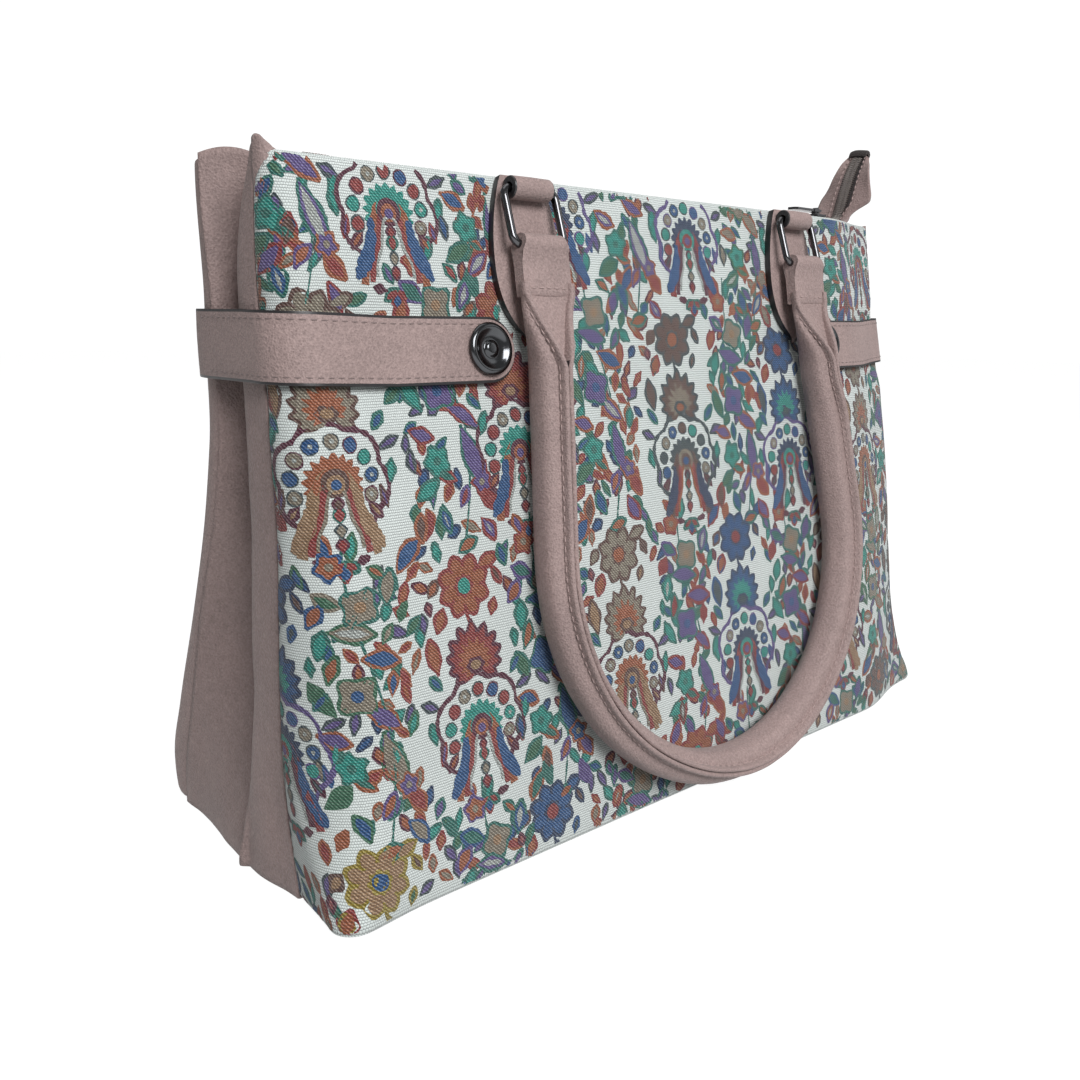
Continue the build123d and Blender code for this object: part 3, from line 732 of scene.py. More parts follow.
# Facing along the inside of the rim, with a raised ear at each end
def facing(front, finish):
    rows, columns = np.linspace(0, 1, 16), np.linspace(-1, 1, 150)
    points = []
    for t in rows:
        for c in columns:
            ear = 4.6 * left_more(c) if front else 3.6
            z = between(RIM - 27.0, RIM - 2.4 + ear * ease((abs(c) - 0.93) / 0.06), t)
            flat, arc = panel_lengths(front, min(z, RIM))[:2]
            s = c * (flat + 0.55 * arc)
            p, _ = panel_surface(front, s, min(z, RIM), -4.6 - 0.5 * wave(s, z, 40.0, 51))
            points.append([p[0], p[1], z])
    faces = grid_faces(len(rows), len(columns), flip=not front)
    return thicken(mesh_piece("rim_facing_" + face_name(front), nip(points), faces, [finish]), 1.0)


# Closing strap at one height: from its end on the front round both corners to where it is sewn on the back
def strap_line(z):
    flat, arc = panel_lengths(True, z)[:2]
    back_flat, back_arc = panel_lengths(False, z)[:2]
    front_s = np.concatenate([np.linspace(STRAP_END, flat, 44), np.linspace(flat, flat + arc, 14)[1:]])
    front, front_n = panel_surface(True, -front_s, z, STRAP_GAP)
    back, back_n = panel_surface(False, -np.linspace(back_flat + back_arc, back_flat, 14), z, STRAP_GAP)
    line = np.concatenate([front, np.linspace(front[-1], back[0], 14)[1:-1], back])
    return line, np.concatenate([front_n, np.tile([-1.0, 0, 0], (12, 1)), back_n])


def strap(way, finish, edge, thread_):
    middle, half = (STRAP_LOW + STRAP_HIGH) / 2, (STRAP_HIGH - STRAP_LOW) / 2 - 0.7
    shares = np.sin(np.linspace(-pi / 2, pi / 2, 17))
    along = travelled(strap_line(middle)[0])
    distance = np.concatenate([half * (1 - np.cos(np.linspace(0, pi / 2, 12))), along[along > half * 1.02]])
    reach = np.sqrt(np.maximum(half ** 2 - (half - np.minimum(distance, half)) ** 2, 0.01))
    points = []
    for share in shares:
        for d, r in zip(distance, reach):
            z = middle + share * r
            path, normal = strap_line(z)
            steps = travelled(path)
            out = 0.25 + 0.25 * np.sin(d * 0.045) * np.clip(d / 30.0, 0, 1)
            p = sample(d, steps, path) + sample(d, steps, normal) * out
            points.append([p[0], p[1], z + 2.2 * np.clip((d - 60.0) / 60.0, 0, 1)])
    points = nip(np.array(points) * [-way, 1, 1])
    rows, columns = len(shares), len(distance)
    # The face's two rows of faces along the top and the two along the bottom take the black edge paint: the
    # painted edge wrapping onto the face, and along the bottom also painted shade at the strap's lower edge
    marks = [int(row in (0, 1, rows - 3, rows - 2)) for row in range(rows - 1) for _ in distance[1:]]
    piece = mesh_piece("strap_cover_" + side_name(way), points, grid_faces(rows, columns, flip=way < 0),
                       [finish, edge],
                       marks=marks)
    soften(thicken(piece, STRAP_THICK, offset=1.0, rim_material=1), 0.3, 2, 60)
    # One run of stitches goes along the top, round the end and back along the bottom
    grid = points.reshape(rows, columns, 3)
    low, centre, top = grid[0], grid[rows // 2], grid[-1]
    sewn = distance < distance[-1] - 30.0
    outward = unit(np.cross(np.gradient(centre, axis=0), top - low)) * way
    upper, lower = [(line + unit(centre - line) * 3.0)[sewn] for line in (top, low)]
    loop = np.concatenate([upper[::-1][:-6], lower[6:]])
    loop_n = np.concatenate([outward[sewn][::-1][:-6], outward[sewn][6:]])
    rows_ = stitches("strap_stitches", loop + loop_n * (STRAP_THICK + 0.02), loop_n, thread_)
    return join([piece, rows_], piece.name)


# Snap cap: a disc, inset again and again into a rolled rim, a dish and a boss
CAP_STEPS = (
    (0.5, 0.7), (0.9, 0.55), (1.1, -0.05), (1.4, -0.9), (1.6, -0.5), (1.3, -0.15), (0.7, 0.05), (0.5, 0.75),
    (0.5, 0.35), (0.5, 0.15), (0.5, 0.05),
)


def snap_cap(way, finish):
    bpy.ops.mesh.primitive_cylinder_add(vertices=64, radius=CAP_RADIUS * MM, depth=1.4 * MM)
    cap = bpy.context.active_object
    cap.name = "snap_cap_" + side_name(way) + "_dished"
    select_only(cap)
    bpy.ops.object.mode_set(mode="EDIT")
    bpy.ops.mesh.select_mode(type="FACE")
    bpy.ops.mesh.select_all(action="DESELECT")
    shape = bmesh.from_edit_mesh(cap.data)
    for face in shape.faces:
        face.select = face.normal.z > 0.9
    bmesh.update_edit_mesh(cap.data)
    for inset, rise in CAP_STEPS:
        bpy.ops.mesh.inset(thickness=inset * MM, depth=0)
        bpy.ops.transform.translate(value=(0, 0, rise * MM))
    bpy.ops.object.mode_set(mode="OBJECT")
    shaped(cap, "SUBSURF", levels=2, render_levels=2)
    middle = Vector((way * SNAP_X, float(front_y(SNAP_HEIGHT)), SNAP_HEIGHT))
    plane = slope_matrix(middle, FRONT_LEAN, True)
    put(cap, plane @ Matrix.Translation((0, 0, STRAP_GAP + STRAP_THICK + 1.7)))
    cap.data.materials.append(finish)
    bpy.ops.object.shade_smooth_by_angle(angle=radians(40))
    return cap


# Where a handle's rings turn, from the frame's own joints
def side_facts(front):
    loop = Vector(JOINTS["ring_" + face_name(front) + "_left_swing"]["pos_m"]) / MM
    bar = Vector(JOINTS["handle_" + face_name(front) + "_swing"]["pos_m"]) / MM
    return loop, bar, -bar.x


def slope_matrix(origin, lean, front):
    way = 1 if front else -1
    x, z = Vector((way, 0, 0)), Vector((0, -way * cos(lean), sin(lean)))
    return Matrix.Translation(origin) @ Matrix((x, z.cross(x), z)).transposed().to_4x4()


# The middle and the outward direction at a place along a rounded rectangle
def rounded_frame(value, hw, hh):
    straights, quarter = (2 * hh, 2 * hw), RING_CORNER * pi / 2
    value = (value + hh) % (2 * sum(straights) + 4 * quarter)
    angle, place = 0.0, np.array([hw + RING_CORNER, -hh])
    for i in range(4):
        straight, normal = straights[i % 2], np.array([cos(angle), sin(angle)])
        direction = np.array([-sin(angle), cos(angle)])
        if value <= straight:
            return place + direction * value, normal
        value -= straight
        middle = place + direction * straight - normal * RING_CORNER
        turned = angle + min(value, quarter) / RING_CORNER
        out = np.array([cos(turned), sin(turned)])
        if value <= quarter:
            return middle + out * RING_CORNER, out
        value -= quarter
        angle, place = turned, middle + out * RING_CORNER
    return place, normal


def ring(front, way, finish):
    loop, bar, spacing = side_facts(front)
    shape, faces = primitive(bpy.ops.mesh.primitive_torus_add, major_segments=96, minor_segments=18,
                             major_radius=1.0,
                             minor_radius=0.25)
    tube = np.stack([np.hypot(shape[:, 0], shape[:, 1]) - 1.0, shape[:, 2]], axis=-1) / 0.25 * RING_WIRE
    hw, hh = RING_WIDTH / 2 - RING_CORNER, np.hypot(loop.y - bar.y, loop.z - bar.z) / 2 - RING_CORNER
    total = 4 * (hw + hh) + 2 * pi * RING_CORNER
    middle = (loop + bar) / 2
    middle.x = way * spacing
    plane = slope_matrix(middle, atan2(abs(bar.y - loop.y), loop.z - bar.z), front)
    points = []
    for turn, (wide, high) in zip(np.arctan2(shape[:, 1], shape[:, 0]), tube):
        centre, out = rounded_frame(turn % (2 * pi) / (2 * pi) * total, hw, hh)
        points.append(plane @ Vector((*(centre + out * wide), high)))
    name = "ring_%s_%s" % (face_name(front), side_name(way))
    piece = face_out(mesh_piece(name + "_wire", points, faces, [finish], angle=60))
    return done(piece, name, "black_nickel", name)


# Tongue tab with thick painted edges, and the leather roll that holds the ring
def tab(front, way, finish, edge):
    spacing = side_facts(front)[2]
    lean = FRONT_LEAN if front else atan2(float(smooth("back", 220.5) - smooth("back", TAB_TOP)), 60.5)
    surface = float(front_y(TAB_TOP) if front else smooth("back", TAB_TOP))
    plane = slope_matrix(Vector((way * spacing, surface, TAB_TOP)), lean, front)
    half, widest = 10.8, 18.5
    top, belly, tip = (y / cos(lean) for y in (6.0, -29.0, -60.5))
    ys = np.concatenate([np.linspace(top, belly, 14),
                         belly + (tip - belly) * np.sin(np.linspace(0, pi / 2, 22))[1:]])
    upper = half + (widest - half) * np.sin(np.clip((top - ys) / (top - belly), 0, 1) * pi / 2) ** 0.8
    lower = widest * np.maximum(1 - np.clip((belly - ys) / (belly - tip), 0, 1) ** 2.3, 0.0) ** 0.62
    shares = np.linspace(-1, 1, 21)
    points = [(c * max(w, 0.15), y, 0.25 + 0.5 * (1 - c * c))
              for y, w in zip(ys, np.where(ys > belly, upper, lower)) for c in shares]
    sheet = mesh_piece("tab", points, grid_faces(len(ys), len(shares), flip=True), [finish, edge])
    soften(thicken(sheet, 3.6, offset=1.0, rim_material=1), 0.7, 3, 55)
    profile = [(10.8, 2.2), (10.95, 3.2), (10.8, 4.4), (10.2, 4.75)]
    cuts = [(-x, r) for x, r in profile] + [(0.0, 4.85)] + profile[::-1]
    turns = np.linspace(0, 2 * pi, 33)[:-1]
    roll = [(x, r * cos(a), 8.3 + r * sin(a)) for x, r in cuts for a in turns]
    marks = [int(row < 3 or row > len(cuts) - 5) for row in range(len(cuts) - 1) for _ in turns]
    roll = mesh_piece("roll", roll, grid_faces(len(cuts), len(turns), close_columns=True), [finish, edge],
                      marks=marks)
    name = "ring_tab_%s_%s" % (face_name(front), side_name(way))
    return done(join([put(sheet, plane), put(roll, plane)], name + "_leather"), "bag", "mauve_leather", name)


# Handle: even stations along the loop, from one end round the bend to the other, on the handle's own plane
def handle_path(spacing, down):
    start, to_start = np.array([-spacing, -HANDLE_END]), np.array([spacing, down - HANDLE_END])
    touch = atan2(to_start[1], to_start[0]) - acos(BEND / np.linalg.norm(to_start))
    arc = np.linspace(pi - touch, 1.5 * pi, 60)
    left = np.concatenate([np.linspace([-spacing, 0.0], start, 12)[:-1],
                           np.linspace(start, [-BEND * cos(touch), BEND * sin(touch) - down], 60)[:-1],
                           np.column_stack([BEND * np.cos(arc), BEND * np.sin(arc) - down])])
    path = np.concatenate([left, left[:-1][::-1] * [-1, 1]])
    steps = travelled(path)
    places = np.arange(0, steps[-1], 1.6)
    line = sample(places, steps, path)
    for _ in range(10):
        line[1:-1] = (line[:-2] + 2 * line[1:-1] + line[2:]) / 4
    return line, places, steps[-1]


# The lips close on each other as the flat end tapers into the tube
def lips(distance):
    q = float(np.clip((distance - HANDLE_END) / (TAPER_END - HANDLE_END), 0, 1))
    s = float(ease(q))
    return s, between(11.2, 0.14, q ** 0.92), between(4.3, 14.0, s)


# The cover's section: the back and flanks, then each lip, and the trough between the lips
def handle_section(distance):
    s, lip, height = lips(distance)
    floor, wide, deep = between(2.0, 8.6, s), between(13.5, 8.2, s), between(2.6, 8.0, s)
    thick = 2.3 + 0.7 * (1 - s)
    base_x = lip + thick
    foot = (base_x + 0.25, between(1.2, 8.0, s) + 1.6 * s)
    right = [(wide * sin(a), -deep * cos(a)) for a in np.linspace(0, pi / 2, 11)]
    for t in np.linspace(0, 1, 8)[1:]:
        bow = sin(pi * t) * (2.2 * s)
        right.append((between(wide, foot[0], t) + bow * 0.9, foot[1] * t + bow * 0.75))
    right += [(base_x, (foot[1] + height) / 2), (base_x, height - 1.1), (base_x - 0.35, height - 0.35),
              (base_x - thick / 2, height), (lip + 0.35, height - 0.35), (lip, height - 1.1),
              (lip, (floor + height) / 2), (lip * 0.985, floor + 0.35), (lip * 0.5, floor)]
    right = np.array(right)
    return np.concatenate([right, right[1:][::-1] * [-1, 1]])


# The flat end's fold round the ring's bar, as places up and out
def handle_end_profile():
    turn = np.linspace(-radians(35), pi + radians(35), 17)
    down = np.linspace(-8.0, -20.6, 8)
    return ([(4.7 * sin(a), 4.7 * cos(a)) for a in turn] + [(y, -2.8) for y in down]
            + [(-21.4, -2.2), (-21.4, 2.2)] + [(y, 2.8) for y in down[::-1]])


def handle(front, finish, edge, thread_):
    _, bar, spacing = side_facts(front)
    lean = FRONT_LEAN if front else BACK_LEAN
    line, places, total = handle_path(spacing, (bar.z - BEND_HEIGHT) / cos(lean))
    from_end = np.minimum(places, total - places)
    ahead = unit(np.gradient(line, axis=0))
    side = np.column_stack([-ahead[:, 1], ahead[:, 0]])
    # The seam leans outward from the bottom of the loop up the right leg
    rise, fall = ease((places - 0.40 * total) / (0.16 * total)), ease((places - total + 92.0) / 34.0)
    lean_out = radians(24.0) * rise * (1 - fall)

    def lay(i, x, z):
        across, up = x * cos(lean_out[i]) - z * sin(lean_out[i]), x * sin(lean_out[i]) + z * cos(lean_out[i])
        return (line[i, 0] + side[i, 0] * across, line[i, 1] + side[i, 1] * across, up)

    kept = np.flatnonzero(from_end >= HANDLE_END - 6)
    points = []
    for i in kept:
        section = handle_section(from_end[i])
        crush = 0.16 * wave(places[i], np.arange(len(section)) * 3.0, 40.0, 61 if front else 62)
        points += [lay(i, *(point * (1 + push / 14))) for point, push in zip(section, crush)]
    count = len(section)
    # The lips' facing walls and the trough between them, where the tube is closed, take the black edge paint
    # as painted shade in the narrow gap between the lips
    marks = [int(23 <= column <= 28 and from_end[i] > TAPER_END - 4) for i in kept[:-1]
             for column in range(count)]
    tube = mesh_piece("tube", points, tube_faces(len(kept), count), [finish, edge], marks=marks + [0, 0],
                      angle=60)
    pieces = [face_out(tube)]
    profile = handle_end_profile()
    lip_row = tuple(i * 13 for i in range(len(profile)))
    wrap_caps = [lip_row, tuple(i + 12 for i in lip_row)[::-1]]
    wrap_faces = grid_faces(len(profile), 13, close_rows=True) + wrap_caps
    for way in (-1, 1):
        rows = [(way * spacing + c * between(10.8, 13.3, ease((4.0 - y) / 9.0)), y,
                 z * (1 + 0.025 * (1 - c ** 4)))
                for y, z in profile for c in np.linspace(-1, 1, 13)]
        pieces.append(face_out(mesh_piece("wrap", rows, wrap_faces, [finish, edge])))
    runs = []
    inside = np.flatnonzero(from_end >= TAPER_END - 6)
    for flank in (-1, 1):
        out = flank * np.cos(lean_out)
        runs.append((np.array([lay(i, 2.62 * flank, 10.6) for i in inside]),
                     np.column_stack([side * out[:, None], flank * np.sin(lean_out)])[inside]))
    for way in (-1, 1):
        d_end = places if way < 0 else total - places
        own_half = (line[:, 0] < 0) == (way < 0)
        taper = np.flatnonzero((d_end >= HANDLE_END + 3) & (d_end <= TAPER_END - 5) & own_half)
        for flank in (-1, 1):
            p, n = [], []
            for i in taper:
                s, lip, height = lips(d_end[i])
                p.append([*(line[i] + side[i] * flank * (lip + 2.6 + 0.7 * (1 - s))), height - 2.9])
                n.append([*(side[i] * flank), 0.5])
            runs.append((np.array(p), np.array(n)))
        p = np.array([(way * spacing + x, -18.2, 3.02) for x in np.linspace(-11.0, 11.0, 12)])
        runs.append((p, np.tile([0, 0, 1.0], (12, 1))))
    pieces += [stitches("handle_stitches", p, n, thread_) for p, n in runs]
    name = "handle_" + face_name(front)
    piece = put(join(pieces, name + "_cover"), slope_matrix(Vector((0, bar.y, bar.z)), lean, front))
    return done(piece, name, "mauve_leather", name)


# Zip: places along the mouth and up into the tail, as the wings and tapes lie in the frame
ZIP_PLACES = {
    "x": [-184.0, -168.0, -120.0, 0.0, 120.0, 158.0, 186.0, 190.0, 193.0, 196.2, 201.5, 206.5, 211.0],
    "z": [289.0, 289.0, 253.0, 253.0, 253.0, 289.0, 289.0, 290.5, 296.0, 305.0, 317.5, 325.5, 331.0],
    "outer": [17.0, 17.0, 23.5, 23.5, 23.5, 17.0, 17.0, 16.5, 16.8, 17.8, 13.4, 9.2, 5.4],
    "inner": [6.6, 6.6, 15.0, 15.0, 15.0, 6.6, 5.2, 5.2, 5.2, 5.2, 5.2, 5.2, 4.0],
    "coil": [1.6, 1.6, 12.6, 12.6, 12.6, 1.6, 0.15, 0.15, 0.15, 0.15, 0.15, 0.15, 0.15],
    "outer_z": [287.0, 287.0, 270.0, 270.0, 270.0, 288.6, 289.0, 290.5, 296.0, 305.0, 317.5, 325.5, 331.0],
    "coil_z": [289.0, 289.0, 248.2, 248.2, 248.2, 289.0, 289.0, 290.5, 296.0, 305.0, 317.5, 325.5, 331.0],
    "turn": [0.0, 0.0, 0.0, 0.0, 0.0, 0.0, 0.0, 30.0, 62.0, 70.0, 64.0, 56.0, 52.0],
}
TAIL_COLUMN, COIL_PITCH = 6, 1.35


def zip_rows():
    along = travelled(np.column_stack([ZIP_PLACES["x"], ZIP_PLACES["z"]]))
    tail = along[TAIL_COLUMN]
    places = np.concatenate([np.arange(0, tail, 2.2), np.arange(tail, along[-1], 0.8), [along[-1]]])
    rows = {name: np.interp(places, along, values) for name, values in ZIP_PLACES.items()}
    for values in rows.values():
        for _ in range(6):
            values[1:-1] = (values[:-2] + 2 * values[1:-1] + values[2:]) / 4
    return dict(rows, along=places, past=np.maximum(places - tail, 0.0), inner_z=rows["z"])


# Across the zip, along it and up from it, where it has turned up into the tail
def zip_axes(degrees):
    turn = radians(degrees)
    return np.array([0, 1.0, 0]), np.array([cos(turn), 0, sin(turn)]), np.array([-sin(turn), 0, cos(turn)])


def zip_side(rows, way, first, last, count, lift, ripple):
    points = []
    for i, x in enumerate(rows["x"]):
        ends = [np.array([x, way * rows[end][i], rows[end + "_z"][i]]) for end in (first, last)]
        past = rows["past"][i]
        curl = ripple * np.clip(past / 12.0, 0, 1) * sin(past * 0.16 + (0.6 if way > 0 else 2.4))
        up = zip_axes(rows["turn"][i])[2]
        points += [between(*ends, t) + up * (lift + curl * (1 - t) ** 1.5) for t in np.linspace(0, 1, count)]
    return nip(points)


# One coil turn is modelled and copied along the tape's inner edge
def zip_coil(rows, way, finish):
    shape, faces = primitive(bpy.ops.mesh.primitive_torus_add, major_segments=8, minor_segments=4,
                             major_radius=1.0,
                             minor_radius=0.36)
    count = int(rows["along"][-1] / COIL_PITCH) - 2
    points = []
    for k in range(count):
        d = (k + 0.5 * (way > 0) + 0.7) * COIL_PITCH
        x, y, z, turn = (np.interp(d, rows["along"], rows[name]) for name in ("x", "coil", "coil_z", "turn"))
        across, travel, up = zip_axes(turn)
        middle = nip([np.array([x, way * (y + 1.5), z]) + up * 1.35])[0]
        lean = shape[:, 2:] * 0.9 + shape[:, :1] * 0.12
        points.append(middle + across * shape[:, :1] * 1.9 + up * shape[:, 1:2] * 0.75 + travel * lean)
    return mesh_piece("coil", np.concatenate(points), repeated(faces, len(shape), count), [finish], angle=80)


def zip_pieces(leather_, tape, coil, dark, thread_):
    rows = zip_rows()
    count = len(rows["x"])
    for way, label in ((-1, "front"), (1, "back")):
        wing = mesh_piece("zip_wing_" + label + "_leather",
                          zip_side(rows, way, "outer", "inner", 9, 0.2, 2.0),
                          grid_faces(count, 9, flip=way > 0), [leather_])
        sewn = zip_side(rows, way, "outer", "inner", 9, 1.35, 2.0).reshape(count, 9, 3)[:, 7]
        up = np.array([zip_axes(turn)[2] for turn in rows["turn"]])
        wing = join([thicken(wing, 1.1, offset=1.0), stitches("zip_stitches", sewn, up, thread_, pitch=3.6)],
                    wing.name)
        done(wing, "bag", "mauve_leather", "zip_wing_" + label)
        band = mesh_piece("zip_tape_" + label + "_cloth", zip_side(rows, way, "inner", "coil", 5, 0.35, 0.0),
                          grid_faces(count, 5, flip=way > 0), [tape, coil])
        band = join([thicken(band, 0.9, offset=1.0), zip_coil(rows, way, coil)], band.name)
        done(band, "bag", "zip_tape", "zip_tape_" + label)
    zip_end(rows, dark)


# The folded tab over the tail's tip, as a C-shaped section along the zip and up from it
FOLD = [
    (-2.6, -0.9), (-1.0, -1.3), (0.8, -1.4), (2.2, -0.8), (2.9, 1.0), (2.2, 2.8), (0.8, 3.4), (-1.0, 3.4),
    (-2.6, 2.9), (-2.7, 2.1), (-0.2, 2.25), (0.5, 1.0), (-0.2, -0.1), (-2.7, -0.2),
]
FOLD_HALF = 5.7


def zip_end(rows, dark):
    tip = np.array([rows["x"][-1], 0, rows["z"][-1]])
    across, travel, up = zip_axes(ZIP_PLACES["turn"][-1])
    places = np.linspace(-FOLD_HALF, FOLD_HALF, 15)
    points = [tip + travel * (t - 0.9 * (abs(c) / FOLD_HALF) ** 2.5)
              + up * (u + 0.4 * sin(c * 0.4)) + across * c for c in places for t, u in FOLD]
    piece = face_out(mesh_piece("zip_tail_fold", points, tube_faces(len(places), len(FOLD)), [dark]))
    return done(piece, "bag", "dark_leather", "zip_tail_tab")


# The woven pattern: each motif is a small patch of coloured floats that lies on the cloth
DYES = {
    "teal": (0.035, 0.21, 0.17), "turquoise": (0.05, 0.40, 0.33), "navy": (0.022, 0.05, 0.13),
    "green": (0.06, 0.20, 0.11), "blue": (0.03, 0.12, 0.32), "lavender": (0.17, 0.12, 0.34),
    "rust": (0.46, 0.15, 0.07), "brick": (0.36, 0.055, 0.05), "burgundy": (0.13, 0.015, 0.045),
    "beige": (0.36, 0.31, 0.24), "brown": (0.16, 0.08, 0.06), "slate": (0.06, 0.09, 0.10),
    "sand": (0.46, 0.29, 0.17), "white": (0.62, 0.66, 0.63), "gold": (0.42, 0.32, 0.06),
    "pink": (0.42, 0.13, 0.13),
}
SATURATION = 1.2
FIRST_LAYER, LAYER = 0.15, 0.035


class Cloth:
    """Collects the pattern's patches in the cloth's own coordinates, in millimetres."""

    def __init__(self, seed):
        self.points, self.faces, self.colours = [], [], []
        self.count = 0
        self.dice = np.random.default_rng(seed)

    def add(self, rows, dye, layer):
        rows = np.asarray(rows, float)
        flat = rows.reshape(-1, 2)
        self.points.append(np.column_stack([flat, np.full(len(flat), FIRST_LAYER + LAYER * layer)]))
        self.faces += [tuple(self.count + i for i in f) for f in grid_faces(len(rows), rows.shape[1])]
        shade = np.array(DYES[dye])
        shade = np.clip(shade.mean() + (shade - shade.mean()) * SATURATION, 0.006, 1.0)
        self.colours.append(np.tile(shade, (len(flat), 1)))
        self.count += len(flat)

    def rough(self, values, amount):
        return values + self.dice.uniform(-amount, amount, np.shape(values))

    # A leaf from its foot along its turn, with a dyed outline, a fill and a vein
    def leaf(self, x, y, turn, size, width, outline, fill=None, vein=None, bend=0.0, point=1.1, layer=0,
             rim=1.5):
        t, a = np.linspace(0, 1, max(int(size / 1.5), 6)), radians(turn)
        start_layer = layer + self.dice.uniform(0, 0.6)
        for k, (dye, shrink) in enumerate(((outline, 0.0), (fill, rim), (vein, rim * 2.0))):
            if dye is None or width / 2 - shrink < 0.35 or size < shrink * 3.2:
                continue
            d = shrink + (size - 2.2 * shrink) * t
            w = np.sin(pi * np.clip(t, 0.03, 0.97) ** point) ** 0.8 * (width / 2 - shrink)
            w = np.maximum(self.rough(w, 0.42 if k == 0 else 0.25), 0.08)
            d, off = d[:, None], bend * np.sin(pi * d / size)[:, None] + w[:, None] * [-1, 0, 1]
            self.add(np.stack([x + d * cos(a) - off * sin(a), y + d * sin(a) + off * cos(a)], axis=-1), dye,
                     start_layer + k)

    # The same, placed by its middle
    def bud(self, x, y, turn, size, *more, **settings):
        a = radians(turn)
        self.leaf(x - cos(a) * size / 2, y - sin(a) * size / 2, turn, size, *more, **settings)

    def disc(self, x, y, radius, dye, layer, petals=0, depth=0.0, squash=1.0, jag=0.15, turn=0.0):
        a = np.linspace(0, 2 * pi, max(10, petals * 4, int(radius * 3)) + 1)
        edge = self.rough(radius * (1 + depth * np.cos(petals * (a - radians(turn)))), jag)
        edge[-1] = edge[0]
        rings = max(int(radius / 1.8), 1)
        lift = self.dice.uniform(0, 0.6)
        reach = np.arange(rings, -1, -1)[:, None] / rings * edge
        self.add(np.stack([x + reach * np.cos(a), y + reach * np.sin(a) * squash], axis=-1), dye,
                 layer + lift)

    # A small flower: outline, fill and heart
    def flower(self, x, y, radius, outline, fill, heart, petals, turn):
        self.disc(x, y, radius, outline, 1, petals=petals, depth=0.16, jag=0.45, turn=turn)
        self.disc(x, y, radius - 1.3, fill, 2, petals=petals, depth=0.2, jag=0.3, turn=turn)
        self.disc(x, y, radius * 0.3, heart, 3)

    def ribbon(self, path, width, dye, layer, jag=0.12):
        steps = travelled(np.asarray(path, float))
        places = np.linspace(0, steps[-1], max(int(steps[-1] / 1.4), 2) + 1)
        line = sample(places, steps, path)
        ahead = unit(np.gradient(line, axis=0))
        wide = np.interp(places, steps, np.ones(len(path)) * width)
        half = np.maximum(self.rough(wide / 2, jag), 0.1)
        side = np.column_stack([-ahead[:, 1], ahead[:, 0]]) * half[:, None]
        self.add(np.stack([line - side, line + side], axis=1), dye, layer + self.dice.uniform(0, 0.3))


# Dyes of one arched flower: the arch's bands from outside in, its sides, fan, scallop, dots and crown,
# and the nodding flower above it
PALETTES = {
    "red": dict(arch=("rust", "white", "brick"), side="blue", fan=("turquoise", "burgundy"),
                scallop="burgundy",
                dots=("beige", "turquoise", "brick", "blue", "brick", "beige", "brick", "turquoise", "brick"),
                crown=("burgundy", "brick", "rust", "sand"), flower=("brick", "rust", "turquoise"),
                leaf=("brick", "rust")),
    "sand": dict(arch=("sand", "beige", "brown"), side="sand", fan=("rust", "brown"), scallop="burgundy",
                 dots=("beige", "blue", "turquoise", "blue", "beige", "blue", "beige", "blue", "beige"),
                 crown=("brown", "beige", "rust", "sand"), flower=("brown", "beige", "rust"),
                 leaf=("brown", "sand")),
    "slate": dict(arch=("brown", "rust", "slate"), side="navy", fan=("slate", "beige"), scallop="slate",
                  dots=("beige", "blue", "slate", "turquoise", "brown", "blue", "beige", "slate", "blue"),
                  crown=("slate", "brown", "beige", "rust"), flower=("slate", "brown", "rust"),
                  leaf=("slate", "brown")),
    "blue": dict(arch=("brick", "white", "turquoise"), side="blue", fan=("navy", "turquoise"),
                 scallop="lavender",
                 dots=("turquoise", "blue", "beige", "blue", "turquoise", "blue", "beige", "turquoise",
                       "brick"),
                 crown=("navy", "blue", "turquoise", "slate"), flower=("navy", "blue", "brick"),
                 leaf=("blue", "slate")),
    "gold": dict(arch=("gold", "sand", "rust"), side="green", fan=("gold", "rust"), scallop="gold",
                 dots=("turquoise", "gold", "rust", "blue", "gold", "rust", "turquoise", "gold", "rust"),
                 crown=("gold", "rust", "gold", "sand"), flower=("gold", "sand", "blue"),
                 leaf=("gold", "green")),
}


